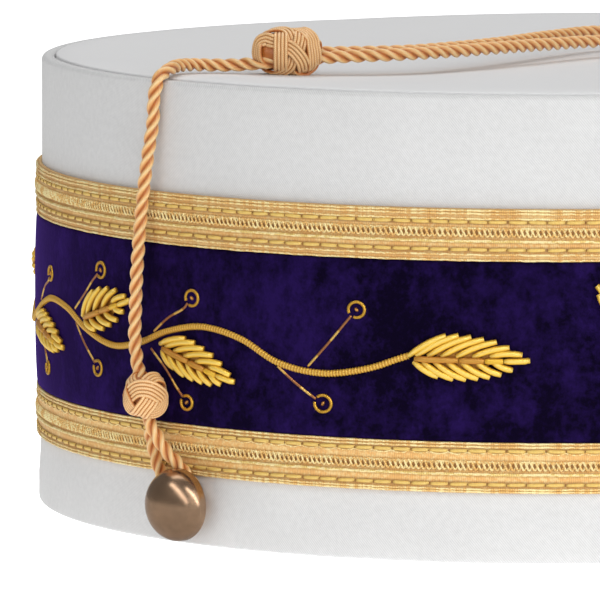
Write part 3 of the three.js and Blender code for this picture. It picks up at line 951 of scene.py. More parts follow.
def brass_material(base):
    """Darkened brass: satin, with faint blotches and fine scratches."""
    material, tree, shader = new_material("aged_brass", 0.34, 0.95)
    place = object_place(tree)
    blotch = noise(tree, place, 260.0, 4.0, 0.6)
    fine = noise(tree, place, 1500.0, 2.0, 0.6, (0.25, 0.25, 1.0))
    shade = spread_range(tree, blotch, 0.3, 0.72)
    made = mixed(tree, shade, scaled_colour(base, 0.82), scaled_colour(base, 1.18))
    tree.links.new(made, shader.inputs["Base Color"])
    rough = maths(tree, "MULTIPLY_ADD", fine, 0.1, 0.19)
    tree.links.new(rough, shader.inputs["Roughness"])
    bump(tree, shader, fine, 0.06, 0.0001)
    return material


def floor_material(base):
    """Pale floor that glows white near the cap and less far off; the glow is weak in the cap's mirror
    images and strong to the camera."""
    material, tree, shader = new_material("pale_floor", 0.9)
    shader.inputs["Base Color"].default_value = (*base, 1.0)
    shader.inputs["Emission Color"].default_value = (1.0, 1.0, 1.0, 1.0)
    distance = tree.nodes.new("ShaderNodeVectorMath")
    distance.operation = "LENGTH"
    tree.links.new(object_place(tree), distance.inputs[0])
    glow = spread_range(tree, distance.outputs["Value"], 0.1, 0.45, 1.2, 0.55)
    ray = tree.nodes.new("ShaderNodeLightPath")
    dim = maths(tree, "MULTIPLY_ADD", ray.outputs["Is Glossy Ray"], -0.85, 1.0)
    lit = maths(tree, "MULTIPLY", glow, dim)
    seen_glow = maths(tree, "MULTIPLY_ADD", ray.outputs["Is Camera Ray"], 0.6, lit)
    tree.links.new(seen_glow, shader.inputs["Emission Strength"])
    return material


def make_materials(context):
    """All of the cap's materials by name, made once."""
    if "white_wall" in bpy.data.materials:
        return bpy.data.materials
    colours = context.scene.cap_colours
    cloth = context.scene.cap_cloth
    line_weave_group()
    glint_group()
    wall = tuple(colours.wall)
    cloth_material("white_wall", wall, own_uv, cloth.twill_pitch, 0.24)
    cloth_material("white_top", tuple(colours.top), object_place, cloth.twill_pitch, 0.03)
    velvet_material(colours)
    lace, bright = tuple(colours.lace), tuple(colours.lace_painted_glint)
    sunk = tuple(colours.lace_painted_shade)
    lace_material("lace_ground", lace, bright, sunk, 0.5, 0.15, 1300.0, 0.45, 3000.0)
    lace_material("lace_thread", scaled_colour(lace, 1.1), bright, sunk, 0.34, 0.25, 1000.0, 1.6, 2400.0)
    lace_material("lace_ridge", scaled_colour(lace, 1.3), bright, sunk, 0.3, 0.3, 900.0, 1.6, 2400.0)
    lace_material("stitch_thread", tuple(colours.stitch), bright, sunk, 0.4, 0.15, 700.0, 0.25, 4200.0)
    deep, bullion = tuple(colours.bullion_dull_and_shade), tuple(colours.bullion)
    gold_material("bullion_purl", deep, bullion, 0.28, 4200.0, 0.35)
    gold_material("bullion_stem", deep, scaled_colour(bullion, 0.78), 0.34, 9000.0, 0.4)
    gold_material("tendril_wire", tuple(colours.wire_dull), scaled_colour(bullion, 0.86), 0.3, 4200.0)
    crest, groove = tuple(colours.cord), tuple(colours.cord_painted_shade)
    cord_material("cord_strands", crest, groove, (180.0, 4200.0, 0.0), 0.4)
    cord_material("knot_strands", scaled_colour(crest, 0.84), groove, (2600.0, 700.0, 0.0), 0.2)
    brass_material(tuple(colours.brass))
    return bpy.data.materials


# Pieces of the cap


def rope_skin(line, radius, lay, per_strand=12):
    """Three-strand cord: each ring is the outline of three touching circles, r = a cos(d) +
    sqrt(s^2 - a^2 sin(d)^2) at d degrees from a strand's crest, turned once for every lay of length."""
    steps = len(line)
    run = run_length(line)
    offset = 0.52 * radius
    strand = radius - offset
    local = np.radians(np.linspace(-60, 60, per_strand, endpoint=False) + 60 / per_strand)
    reach = offset * np.cos(local) + np.sqrt(strand**2 - (offset * np.sin(local)) ** 2)
    reach = np.tile(reach, 3)
    around = np.concatenate([local + math.radians(120 * i) for i in range(3)])
    angle = around[None] + (2 * math.pi * run / lay)[:, None]
    _, out, side = frames(line[None], off_cap(line)[None])
    rings = line[None, :, None] + reach[None, None, :, None] * (
        np.cos(angle)[None, ..., None] * out[:, :, None]
        + np.sin(angle)[None, ..., None] * side[:, :, None]
    )
    # Painted shade: the tone rises from the strands' crests to the grooves between them.
    groove = np.clip((reach.max() - reach) / (reach.max() - reach.min()), 0, 1) ** 0.95
    tone = np.broadcast_to(groove, (1, steps, 3 * per_strand))
    girth = 2 * math.pi * radius
    return ring_skin(rings, run, girth * np.arange(3 * per_strand + 1) / (3 * per_strand), False, tone)


def knot_place(spec, along, turn, level):
    """Points of a knot's rounded body: at a place along its line the radius follows
    (radius / half width)^2.6 + (along / half length)^2.6 = 1, and level stands off it."""
    way, faces, aside = (unit(np.array(spec[name])) for name in ("way", "faces", "aside"))
    power = KNOT_ROUNDNESS
    share = np.clip(np.abs(along) / spec["half_length"], 0, 0.985)
    wide = spec["half_width"] * (1 - share**power) ** (1 / power)
    slope = np.sign(along) * share**(power - 1) / spec["half_length"]
    rise = (wide / spec["half_width"]) ** (power - 1) / spec["half_width"]
    tilt = np.arctan2(slope, rise)
    wide = wide + level * np.cos(tilt)
    along = along + level * np.sin(tilt)
    ring = np.cos(turn)[:, None] * faces + np.sin(turn)[:, None] * aside
    out = np.cos(tilt)[:, None] * ring + np.sin(tilt)[:, None] * way
    return np.array(spec["place"]) + MM * (along[:, None] * way + wide[:, None] * ring), out


def knot_skins(spec, strand_width):
    """Woven knot: bands of strands laid on the knot's body, over and under each other, the same again
    on the far side half a turn round its line, with painted shade on the strands' flanks, and a heart
    inside whose dark tone is painted shade in the gaps between the bands."""
    skins = []
    for count, points in spec["bands"]:
        route = np.array(points, float)
        for half in (0.0, 180.0):
            if half and abs(route[0, 1] - route[-1, 1]) > 300:
                continue
            line = even_line(smooth_route(route * [1.0, 0.06, 1.0], 12) / [1.0, 0.06, 1.0], 1.6)
            middle, out = knot_place(spec, line[:, 0], np.radians(line[:, 1] + half), line[:, 2])
            run = run_length(middle)
            marks = np.linspace(0, run[-1], max(12, int(run[-1] / (0.3 * MM))))
            middle = np.stack([np.interp(marks, run, middle[:, i]) for i in range(3)], 1)
            even = np.linspace(0, marks[-1], len(out))
            out = unit(np.stack([np.interp(marks, even, out[:, i]) for i in range(3)], 1))
            way = unit(np.gradient(middle, axis=0))
            side = unit(np.cross(way, out))
            lane = (np.arange(count) - 0.5 * (count - 1)) * strand_width * 0.97
            lines = middle[None] + lane[:, None, None] * side[None]
            outs = np.broadcast_to(out, lines.shape)
            # Painted shade on each strand's flanks.
            skins.append(tube_skin(lines, outs, 0.5 * strand_width, 10, edge=1.0))
    way = np.array(spec["way"])
    level = np.linspace(-0.9, 0.9, 15)
    core = np.array(spec["place"]) + (level * spec["half_length"] * MM)[:, None] * way
    slim = (1 - np.abs(level) ** KNOT_ROUNDNESS) ** (1 / KNOT_ROUNDNESS)
    radius = (spec["half_width"] - 0.15) * MM * slim
    faces = np.broadcast_to(unit(np.array(spec["faces"])), (1, 15, 3))
    # Painted shade: the heart's high tone darkens the gaps between the bands.
    heart = tube_skin(core[None], faces, radius[None], 20, tone=np.full((1, 15), 0.85))
    return skins, heart


def lace_tape(low, high, around, rows):
    """Flat woven tape of the lace: its face dips a little between its raised rows, and painted shade
    darkens its ground beside each row.
    """
    inner = WALL_RADIUS + PIECE_GAP
    outer = inner + 0.78 * MM
    steps = 41
    share = np.linspace(0, 1, steps)
    raised = sum(np.exp(-(((share - row) / 0.035) ** 2)) for _, row in rows)
    face = outer + 0.14 * MM * np.clip(raised, 0, 1) - 0.25 * MM * (np.abs(share - 0.5) * 2) ** 14
    height = high - share * (high - low)
    profile = np.concatenate([np.stack([face, height], 1), [[inner, low], [inner, high]]])
    deep = np.zeros(len(profile))
    # Painted shade beside each row of the lace.
    for kind, row in rows:
        shade_depth, spread = LACE_PAINTED_SHADE[kind]
        deep[:steps] = np.maximum(deep[:steps], shade_depth * np.exp(-(((share - row) / spread) ** 4)))
    return turned_skin(profile, around, tone=deep), outer


def ring_thread(radius, height, thickness, around, sides, wobble, seed):
    """Thread that runs once round the cap, with a small wander of its height and radius."""
    turn = 2 * math.pi * np.arange(around) / around
    rng = np.random.default_rng(seed)
    waves = np.array([41, 67, 97, 139])
    shift = (np.sin(turn[:, None] * waves + rng.uniform(0, 6.28, 4))).sum(1) * wobble
    beads = 1 + 0.12 * np.sin(turn * round(2 * math.pi * radius / (1.5 * MM)))
    reach = radius + shift * 0.4
    line = np.stack([reach * np.sin(turn), -reach * np.cos(turn), height + shift], -1)[None]
    return tube_skin(line, radial(line), thickness * beads[None], sides, closed=True)


def braid_threads(radius, height, width, pitch, thickness):
    """Two threads that cross like a plait: height + half the width * cos(n turn), over and under by
    sin(n turn), the second half a wave behind the first."""
    waves = int(round(2 * math.pi * radius / pitch / 2))
    around = waves * 10
    turn = 2 * math.pi * np.arange(around) / around
    phase = np.array([0.0, math.pi])[:, None]
    wave = turn[None] * waves + phase
    level = height + 0.5 * width * np.cos(wave)
    reach = radius + thickness * 0.8 * np.sin(wave)
    line = np.stack([reach * np.sin(turn), -reach * np.cos(turn), level], -1)
    return tube_skin(line, radial(line), thickness, 4, closed=True)


def scallop_thread(radius, height, width, pitch, thickness):
    """Row of small hanging loops: height - width * |sin(n turn / 2)|."""
    waves = int(round(2 * math.pi * radius / pitch))
    around = waves * 10
    turn = 2 * math.pi * np.arange(around) / around
    level = height - width * np.abs(np.sin(0.5 * waves * turn))
    line = np.stack([radius * np.sin(turn), -radius * np.cos(turn), level], -1)[None]
    return tube_skin(line, radial(line), thickness, 5, closed=True)


def stitch_row(radius, height, pitch, seed):
    """Running stitches: short flat threads end to end, each bowed outwards in its middle, with painted
    shade on their flanks, and short bars between them whose dark tone is painted shade in the needle
    holes."""
    count = int(round(2 * math.pi * radius / pitch))
    rng = np.random.default_rng(seed)
    start = 2 * math.pi * (np.arange(count) + rng.uniform(-0.04, 0.04, count)) / count
    span = 2 * math.pi / count * rng.uniform(0.9, 0.96, count)
    share = np.linspace(0, 1, 7)
    turn = start[:, None] + span[:, None] * share
    tilt = rng.uniform(-0.06, 0.06, count)[:, None] * MM * (share - 0.5) * 2
    reach = radius + 0.12 * MM * np.sin(math.pi * share) ** 0.5 - 0.1 * MM
    line = np.stack([reach * np.sin(turn), -reach * np.cos(turn), height + tilt], -1)
    girth = np.array([0.7, 0.95, 1.0, 1.0, 1.0, 0.95, 0.7]) * 0.36 * MM
    bars = tube_skin(line, radial(line), girth, 6, flat=0.6, edge=0.25)
    middle = start[:, None] - 0.035 * span[:, None] + 0.012 * span[:, None] * np.linspace(-1, 1, 3)
    reach = radius + 0.14 * MM
    level = height + 0.2 * MM * np.linspace(-1, 1, 3) + 0 * middle
    line = np.stack([reach * np.sin(middle), -reach * np.cos(middle), level], -1)
    girth = np.array([0.07, 0.13, 0.07]) * MM
    # Painted shade: the needle holes are short bars of a dark tone.
    holes = tube_skin(line, radial(line), girth, 6, tone=np.full((count, 3), 0.85))
    return bars, holes


def make_lace(name, node, rows, sizes, around, materials, seed):
    """One gold lace: the tape with its ribs, ridge, braid and sewing stitches."""
    low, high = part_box(node)[0].z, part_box(node)[1].z
    tape, face = lace_tape(low, high, around, rows)
    parts = [(tape, materials["lace_ground"])]
    gold = materials["lace_thread"]
    for i, (kind, share) in enumerate(rows):
        height = high - share * (high - low)
        if kind == "rib":
            place = (face + 0.14 * MM, height, sizes.rib)
            parts.append((ring_thread(*place, around * 2, 5, 0.018 * MM, seed + i), gold))
        elif kind == "ridge":
            place = (face + 0.22 * MM, height, sizes.rib * 1.35)
            skin = ring_thread(*place, around * 2, 6, 0.02 * MM, seed + i)
            parts.append((skin, materials["lace_ridge"]))
        elif kind == "stitch":
            bars, holes = stitch_row(face + 0.16 * MM, height, sizes.stitch_length, seed + i)
            parts += [(bars, materials["stitch_thread"]), (holes, materials["stitch_thread"])]
        elif kind == "scallop":
            place = (face + 0.12 * MM, height + 0.3 * MM, 0.4 * MM)
            parts.append((scallop_thread(*place, sizes.stitch_length, 0.15 * MM), gold))
        else:
            place = (face + 0.2 * MM, height, sizes.braid_width)
            parts.append((braid_threads(*place, sizes.braid_pitch, 0.22 * MM), gold))
    return make_piece(name, parts, [node])


def leaf_axis(row):
    """A leaf's base, the way from its base to its tip, and its half width, flat on the velvet."""
    turn, rise, tip_turn, tip_rise, width = row
    start = band_point(turn, rise)
    return start, band_point(tip_turn, tip_rise) - start, 0.5 * width * VELVET_WIDTH


def purl_lines(row, sizes):
    """Lines of the coiled tubes of one leaf, in (along, height, proud) of the velvet, with their tones.

    On each side the tubes run from feet close to the midrib to tips on the leaf's outline; the feet's
    shares of the length follow a power of the tube's number, the tips' shares are even, and the half
    width at a share is read from a short table. The midrib hangs a little to one side near the base.
    """
    start, run, half = leaf_axis(row)
    length = np.linalg.norm(run)
    way = run / length
    across = np.array([-way[1], way[0]])
    shares = [0.0, 0.12, 0.25, 0.4, 0.5, 0.6, 0.72, 0.8, 0.88, 0.95, 1.0]
    widths = [0.2, 0.7, 0.94, 1.0, 0.96, 0.89, 0.78, 0.62, 0.4, 0.2, 0.08]
    count = max(4, int(round(0.72 * length / sizes.purl_gap)))
    number = np.linspace(0, 1, count)
    bow = np.linspace(0, 1, 6)
    sag = -0.55 * sizes.purl_width * np.sqrt(1 - number)
    lines, tones = [], []
    feet_up = -0.025 + 0.695 * number**1.3
    feet_down = 0.02 + 0.67 * number**1.2
    tips_up = 0.29 + 0.645 * number
    tips_down = 0.234 + 0.623 * number**0.88
    for side, feet, tips in ((1.0, feet_up, tips_up), (-1.0, feet_down, tips_down)):
        reach = side * half * np.interp(tips, shares, widths)
        root = sag + side * 0.42 * sizes.purl_width
        for foot, tip, low, far in zip(feet, tips, root, reach):
            s = (foot + (tip - foot) * bow) * length
            n = low + (far - low) * bow + side * 0.06 * (tip - foot) * length * np.sin(math.pi * bow)
            flat = start + s[:, None] * way + n[:, None] * across
            proud = sizes.purl_width * (0.4 + 0.42 * np.sin(math.pi * bow * 0.75 + 0.35))
            lines.append(np.column_stack([flat, proud]))
            tones.append(0.0)
    for foot, tip, tone in ((0.03, 0.4, 0.7), (0.41, 0.62, 0.7), (0.63, 0.78, 0.2), (0.79, 1.0, 0.0)):
        s = foot + (tip - foot) * bow
        n = -0.55 * sizes.purl_width * np.sqrt(1 - s)
        flat = start + (s * length)[:, None] * way + n[:, None] * across
        proud = sizes.purl_width * (0.72 + 0.15 * np.sin(math.pi * bow))
        if tip == 1.0:
            proud = proud - 0.25 * sizes.purl_width * bow
        lines.append(np.column_stack([flat, proud]))
        tones.append(tone)
    return np.array(lines), np.array(tones)


def leaf_skin(row, sizes):
    """Leaf of coiled tubes laid in chevrons, with a midrib of end-to-end tubes, and painted shade on each
    tube's flanks.
    """
    lines, tones = purl_lines(row, sizes)
    places = on_band(lines[..., 0], lines[..., 1], lines[..., 2])
    girth = 0.5 * sizes.purl_width * np.array([0.8, 1.0, 1.0, 1.0, 1.0, 0.86])
    tone = np.broadcast_to(tones[:, None], places.shape[:2])
    # Painted shade on each tube's flanks.
    return tube_skin(places, radial(places), girth, 8, tone=tone, edge=0.85)


def pad_skin(row, sizes):
    """Low felt pad under a leaf: a flattened tube along the leaf whose half width follows the leaf's; its
    dark tone is painted shade in the gaps between the tubes.
    """
    start, run, half = leaf_axis(row)
    share = np.linspace(0.04, 0.93, 14)
    sag = -0.3 * sizes.purl_width * np.sqrt(1 - share)
    across = unit(np.array([-run[1], run[0]]))
    flat = start + share[:, None] * run + sag[:, None] * across
    wide = half * np.interp(share, [0.0, 0.2, 0.4, 0.6, 0.8, 1.0], [0.25, 0.76, 0.92, 0.84, 0.58, 0.15])
    places = on_band(flat[:, 0], flat[:, 1], 0.1 * MM)[None]
    squash = 0.3 * sizes.purl_width / half
    # Painted shade: the pad's dark tone fills the gaps between the tubes.
    tone = np.full((1, len(share)), 0.8)
    return tube_skin(places, radial(places), wide[None], 16, tone=tone, flat=squash)


def stem_skin(sizes):
    """Ribbed stem: a tube whose radius swells and dips by a cosine with one wave per rib, with painted
    shade in the dips and on its flanks.
    """
    route = np.array([band_point(turn, rise) for turn, rise in STEM_ROUTE])
    line = even_line(smooth_route(route, 24), sizes.stem_rib / 5)
    run = run_length(line)
    swell = np.cos(2 * math.pi * run / sizes.stem_rib)
    radius = 0.5 * sizes.stem_width * (0.92 + 0.08 * swell)
    places = on_band(line[:, 0], line[:, 1], 0.34 * sizes.stem_width)[None]
    # Painted shade in the dips between the ribs.
    tone = (0.5 - 0.5 * swell)[None] ** 2 * 0.8
    return tube_skin(places, radial(places), radius[None], 9, tone=tone, flat=0.8, edge=0.35)


def tendril_skins(sizes):
    """Wire tendrils: a stalk of alternate bright and dull lengths, a ring that is open towards the
    stalk, and a small knot of thread in the ring's middle."""
    skins = []
    wire = 0.5 * sizes.wire_width
    angle = np.linspace(0, 1, 26)
    for stalk, centre, ring in TENDRILS:
        points = np.array([band_point(turn, rise) for turn, rise in stalk])
        middle = band_point(*centre)
        radius = 0.94 * ring * MM
        towards = unit(points[-1] - middle)
        route = np.vstack([points, middle + towards * radius * 0.9])
        line = even_line(smooth_route(route, 12), 0.25 * MM)
        run = run_length(line)
        tone = np.where((run * 1000 + ring * 7) % 6.4 < 2.6, 0.0, 1.0)
        places = on_band(line[:, 0], line[:, 1], wire)[None]
        skins.append(tube_skin(places, radial(places), wire, 6, tone=tone[None]))
        heading = math.atan2(towards[1], towards[0])
        sweep = heading + math.radians(20) + angle * math.radians(320)
        loop = middle + np.stack([1.1 * np.cos(sweep), np.sin(sweep)], 1) * (radius - wire)
        places = on_band(loop[:, 0], loop[:, 1], wire * 1.3)[None]
        tone = np.full((1, len(angle)), 0.3)
        skins.append(tube_skin(places, radial(places), 0.56 * sizes.wire_width, 6, tone=tone))
        dot = middle + np.linspace(-0.3, 0.3, 5)[:, None] * MM * towards
        places = on_band(dot[:, 0], dot[:, 1], wire)[None]
        girth = np.array([0.45, 0.85, 1.0, 0.85, 0.45]) * 0.95 * sizes.wire_width
        skins.append(tube_skin(places, radial(places), girth, 6, tone=np.full((1, 5), 0.7)))
    return skins


def button_skin(node):
    """Domed button with a rolled edge and its shank, turned about the outward line through the node."""
    low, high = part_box(node)
    centre = (low + high) / 2
    height = centre.z
    radius = 0.525 * (high.z - low.z)
    way = np.array([math.copysign(math.sin(BUTTON_TURN), centre.x), -math.cos(BUTTON_TURN), 0.0])
    shank_radius = 1.6 * MM
    shank_length = 3.05 * MM
    edge_radius = 0.6 * MM
    dome = 5.0 * MM
    base = RIM_RADIUS + PIECE_GAP
    back = base + shank_length
    edge = bend((radius - edge_radius, back + edge_radius), edge_radius, -90, 20, 7)
    theta = np.radians(np.linspace(6, 88, 22))
    curve = np.stack([radius * np.cos(theta) ** 0.94, back + 1.0 * MM + dome * np.sin(theta)], 1)
    shank = [
        [shank_radius, base],
        [shank_radius, back - 0.2 * MM],
        [shank_radius + 0.3 * MM, back],
    ]
    profile = np.concatenate([shank, [[radius * 0.6, back]], edge, curve])
    sides = 72
    turn = 2 * math.pi * np.arange(sides) / sides
    sideways = np.cross([0.0, 0.0, 1.0], way)
    ring = np.cos(turn)[:, None] * sideways + np.sin(turn)[:, None] * np.array([0.0, 0.0, 1.0])
    rings = (
        np.array([0.0, 0.0, height])
        + profile[:, 1, None, None] * way
        + profile[:, 0, None, None] * ring[None]
    )
    return ring_skin(rings[None], run_length(profile), np.arange(sides + 1) / sides)


def wall_skin(sizes):
    """Cloth wall: turned rim, a flare at the foot, straight side, rounded edge and tucked-in ledge."""
    inner = WALL_RADIUS - WALL_THICKNESS
    seam = TOP_EDGE + PIECE_GAP
    ledge = WALL_HEIGHT - 1.9 * MM
    ledge_end = seam - 4.1 * MM
    edge = sizes.edge_round
    turned = 0.6 * MM
    face = WALL_RADIUS + FACE_OUT
    flare = RIM_RADIUS + FOOT_OUT
    foot = bend((flare - turned, turned), turned, -90, 0, 6)
    lip = bend((face - edge, SEAM_HEIGHT - edge), edge, 0, 88, 11)
    outside = [
        [flare, 2.2 * MM],
        [flare, 5.0 * MM],
        [0.35 * face + 0.65 * flare, 9.0 * MM],
        [0.55 * face + 0.45 * flare, 12.0 * MM],
        [face, 18.0 * MM],
        [face, 40.0 * MM],
        [face, 66.0 * MM],
        [face, 76.0 * MM],
    ]
    tucked = [
        [seam + 0.2 * MM, SEAM_HEIGHT - 0.1 * MM],
        [seam, SEAM_HEIGHT - 0.5 * MM],
        [seam, ledge],
        [ledge_end, ledge],
        [ledge_end, ledge - 1.7 * MM],
        [inner, ledge - 2.0 * MM],
        [inner, 40.0 * MM],
        [inner, 1.2 * MM],
        [inner + 0.4 * MM, 0.3 * MM],
        [inner + 1.2 * MM, 0.0],
    ]
    profile = np.concatenate([foot, outside, lip, tucked])
    return turned_skin(profile, sizes.around, sizes.ripple * 0.4, 3)


def top_skin(sizes):
    """Top panel: a disc whose edge tucks into the seam and rises to a crest; behind the crest it sags.
    The crest lies further back where a bell curve of the turn, centred left of the front, is high."""
    edge = TOP_EDGE
    crest = TOP_CREST
    under = TOP_UNDER
    rolled = 0.4 * MM
    roll = bend((edge - rolled, SEAM_HEIGHT - 0.3 * rolled), rolled, 0, 80, 7)
    sag = 1.2 * MM
    shares = np.array([0.96, 0.93, 0.89, 0.84, 0.78, 0.7, 0.6, 0.48, 0.34, 0.18, 0.06])
    bottom = [
        [edge * 0.1, crest - sag - 1.6 * MM],
        [edge * 0.74, crest - sag - 1.4 * MM],
        [edge - 0.5 * MM, max(under, crest - 2.7 * MM)],
        [edge, crest - 2.4 * MM],
    ]
    flat = np.stack([shares * edge, np.full(len(shares), crest)], 1)
    profile = np.concatenate([bottom, roll, flat])
    turn = 2 * math.pi * np.arange(sizes.around) / sizes.around
    bell = np.exp(-((np.degrees(turn) - 360 + 27) / 11) ** 2)
    fall = np.clip((0.955 - 0.15 * bell - shares[:, None]) / 0.5, 0, 1) ** 0.8
    waves = np.sin(3 * turn + 0.7) + np.sin(5 * turn + 2.1) + 0.6 * np.sin(11 * turn)
    wander = sizes.ripple * 0.5 * waves
    swell = np.clip((profile[:, 0] / edge - 0.3) / 0.7, 0, 1) * (profile[:, 0] < edge * 0.97)
    rise = swell[:, None] * wander[None]
    rise[-len(shares):] -= sag * fall
    rings = np.stack([
        profile[:, :1] * np.sin(turn),
        -profile[:, :1] * np.cos(turn),
        profile[:, 1:] + rise,
    ], -1)
    return ring_skin(rings[None], run_length(profile), np.arange(sizes.around + 1) / sizes.around)


def low_at_back(skin):
    """The skin with its top edge a little lower at the back, and most so at the back left: down by a
    straight-line share of x, times the share of the way back and of the way up the last centimetre."""
    place = skin["points"]
    back = np.clip(place[:, 1] / WALL_RADIUS, 0, 1) ** 0.7
    up = np.clip((place[:, 2] - WALL_HEIGHT + 12 * MM) / (10 * MM), 0, 1)
    drop = np.clip(0.37 * MM - 0.0155 * place[:, 0], -0.25 * MM, 0.65 * MM)
    skin["points"] = place - np.outer(drop * back * up, [0.0, 0.0, 1.0])
    return skin


def velvet_skin(sizes):
    """Velvet band: a soft cushioned ring that rolls in at both edges."""
    inner = WALL_RADIUS + PIECE_GAP
    under_lace = 0.25 * MM
    low, high = VELVET_LOW.z - under_lace, VELVET_HIGH.z + under_lace
    face = VELVET_RADIUS
    rolled = 0.6 * MM
    bottom = bend((face - rolled, low + rolled), rolled, -90, 0, 5)
    upper = bend((face - rolled, high - rolled), rolled, 0, 90, 5)
    share = np.linspace(0.04, 0.96, 13)
    puff = 0.36 * MM * (1 - np.abs(2 * share - 1) ** 3)
    middle = np.stack([face + puff, low + share * (high - low)], 1)
    profile = np.concatenate([bottom, middle, upper, [[inner, high], [inner, low]]])
    return turned_skin(profile, sizes.around)


# Camera, lights and stage


def camera_turn(stage, aim):
    """Camera place and turn: it stands back from the aim point, and is panned so that the aim point
    falls the stated pixels right of and above the picture's centre."""
    back = Vector((
        math.sin(stage.azimuth) * math.cos(stage.elevation),
        -math.cos(stage.azimuth) * math.cos(stage.elevation),
        math.sin(stage.elevation),
    ))
    place = aim + back * stage.distance
    ahead = -back
    right = ahead.cross(Vector((0, 0, 1))).normalized()
    up = right.cross(ahead)
    focal = stage.lens / SENSOR_WIDTH * PICTURE_WIDTH
    look = (ahead - right * (stage.aim_right / focal) - up * (stage.aim_up / focal)).normalized()
    side = look.cross(Vector((0, 0, 1))).normalized()
    over = side.cross(look)
    turn = Matrix((side, over, -look)).transposed().to_4x4()
    return Matrix.Translation(place) @ turn


def strip_light(name, start, end, aim, width, power):
    """Long narrow light from one place to another, its face towards the aim."""
    start, end, aim = Vector(start), Vector(end), Vector(aim)
    along = (end - start).normalized()
    middle = (start + end) / 2
    facing = aim - middle
    facing = (facing - along * facing.dot(along)).normalized()
    lamp = soft_light(name, middle, aim, ((end - start).length, width), power)
    turn = Matrix((along, (-facing).cross(along), -facing)).transposed()
    lamp.rotation_quaternion = turn.to_quaternion()
    return lamp


def soft_light(name, place, aim, size, power):
    """Rectangular soft light at a place, turned to the aim."""
    data = bpy.data.lights.new(name, "AREA")
    data.shape = "RECTANGLE"
    data.size, data.size_y = size
    data.energy = power
    lamp = bpy.data.objects.new(name, data)
    lamp.location = place
    lamp.rotation_mode = "QUATERNION"
    lamp.rotation_quaternion = (Vector(aim) - Vector(place)).to_track_quat("-Z", "Y")
    bpy.context.scene.collection.objects.link(lamp)
    return lamp


def white_room(strength):
    """World of even white light: weak as light, a little stronger in mirror images, bright when seen."""
    world = bpy.data.worlds.new("white_room")
    world.use_nodes = True
    nodes, links = world.node_tree.nodes, world.node_tree.links
    room = nodes["Background"]
    seen = nodes.new("ShaderNodeBackground")
    mirror = nodes.new("ShaderNodeBackground")
    for node, share in ((room, strength), (seen, 1.2), (mirror, 0.2)):
        node.inputs["Color"].default_value = (1.0, 1.0, 1.0, 1.0)
        node.inputs["Strength"].default_value = share
    path = nodes.new("ShaderNodeLightPath")
    mix = nodes.new("ShaderNodeMixShader")
    links.new(path.outputs["Is Camera Ray"], mix.inputs["Fac"])
    links.new(seen.outputs["Background"], mix.inputs[2])
    blend = nodes.new("ShaderNodeMixShader")
    links.new(path.outputs["Is Glossy Ray"], blend.inputs["Fac"])
    links.new(room.outputs["Background"], blend.inputs[1])
    links.new(mirror.outputs["Background"], blend.inputs[2])
    links.new(blend.outputs["Shader"], mix.inputs[1])
    links.new(mix.outputs["Shader"], nodes["World Output"].inputs["Surface"])
    return world


class CAP_OT_camera(bpy.types.Operator):
    """Place the camera at the picture's angle."""

    bl_idname = "cap.camera"
    bl_label = "Camera"

    def execute(self, context):
        stage = context.scene.cap_stage
        data = bpy.data.cameras.new("cap_camera")
        data.lens = stage.lens
        data.sensor_width = SENSOR_WIDTH
        data.clip_start = 0.05
        data.clip_end = 50.0
        camera = bpy.data.objects.new("cap_camera", data)
        context.scene.collection.objects.link(camera)
        camera.matrix_world = camera_turn(stage, Vector((0, 0, 0.5 * (WALL_HEIGHT + 0.4 * MM))))
        context.scene.camera = camera
        return {"FINISHED"}


class CAP_OT_cords(bpy.types.Operator):
    """Lay the three lengths of twisted gold cord and weave the two knots."""

    bl_idname = "cap.cords"
    bl_label = "Cords and knots"

    def execute(self, context):
        sizes = context.scene.cap_cord
        materials = make_materials(context)
        radius = 0.5 * sizes.diameter
        for name, spec in (("knot_left", LOWER_KNOT), ("knot_top", CROWN_KNOT)):
            strands, heart = knot_skins(spec, sizes.knot_strand)
            parts = [(skin, materials["knot_strands"]) for skin in strands]
            parts.append((heart, materials["cord_strands"]))
            make_piece("woven_" + name, parts, [name])
        for name, route, end, knot, stretch in (
            ("cord_left_loop", LEFT_LOOP_ROUTE, "knot", "knot_left", 1.08),
            ("cord_rise", RISE_ROUTE, "object", None, 1.08),
            ("cord_crown_loop", CROWN_LOOP_ROUTE, "knot", "knot_top", 1.06),
        ):
            lay = sizes.lay * stretch
            line = even_line(smooth_route(route, 24), lay / 22)
            skin = rope_skin(line, radius, lay)
            cord = make_piece("twisted_" + name, [(skin, materials["cord_strands"])], [name])
        return {"FINISHED"}


class CAP_OT_cloth(bpy.types.Operator):
    """Make the white cloth wall and the flat top panel."""

    bl_idname = "cap.cloth"
    bl_label = "White cloth"

    def execute(self, context):
        sizes = context.scene.cap_cloth
        materials = make_materials(context)
        wall = low_at_back(wall_skin(sizes))
        top = low_at_back(top_skin(sizes))
        make_piece("cloth_wall", [(wall, materials["white_wall"])], ["crown_side"])
        make_piece("cloth_top", [(top, materials["white_top"])], ["crown_top"])
        return {"FINISHED"}


class CAP_OT_velvet(bpy.types.Operator):
    """Make the velvet band."""

    bl_idname = "cap.velvet"
    bl_label = "Velvet band"

    def execute(self, context):
        materials = make_materials(context)
        skin = velvet_skin(context.scene.cap_cloth)
        make_piece("velvet_pile", [(skin, materials["velvet_nap"])], ["velvet_band"])
        return {"FINISHED"}


class CAP_OT_lace(bpy.types.Operator):
    """Weave and sew the two gold laces."""

    bl_idname = "cap.lace"
    bl_label = "Gold lace"

    def execute(self, context):
        sizes = context.scene.cap_lace
        around = context.scene.cap_cloth.around
        materials = make_materials(context)
        make_lace("woven_upper_lace", "upper_lace", UPPER_ROWS, sizes, around, materials, 10)
        make_lace("woven_lower_lace", "lower_lace", LOWER_ROWS, sizes, around, materials, 40)
        return {"FINISHED"}


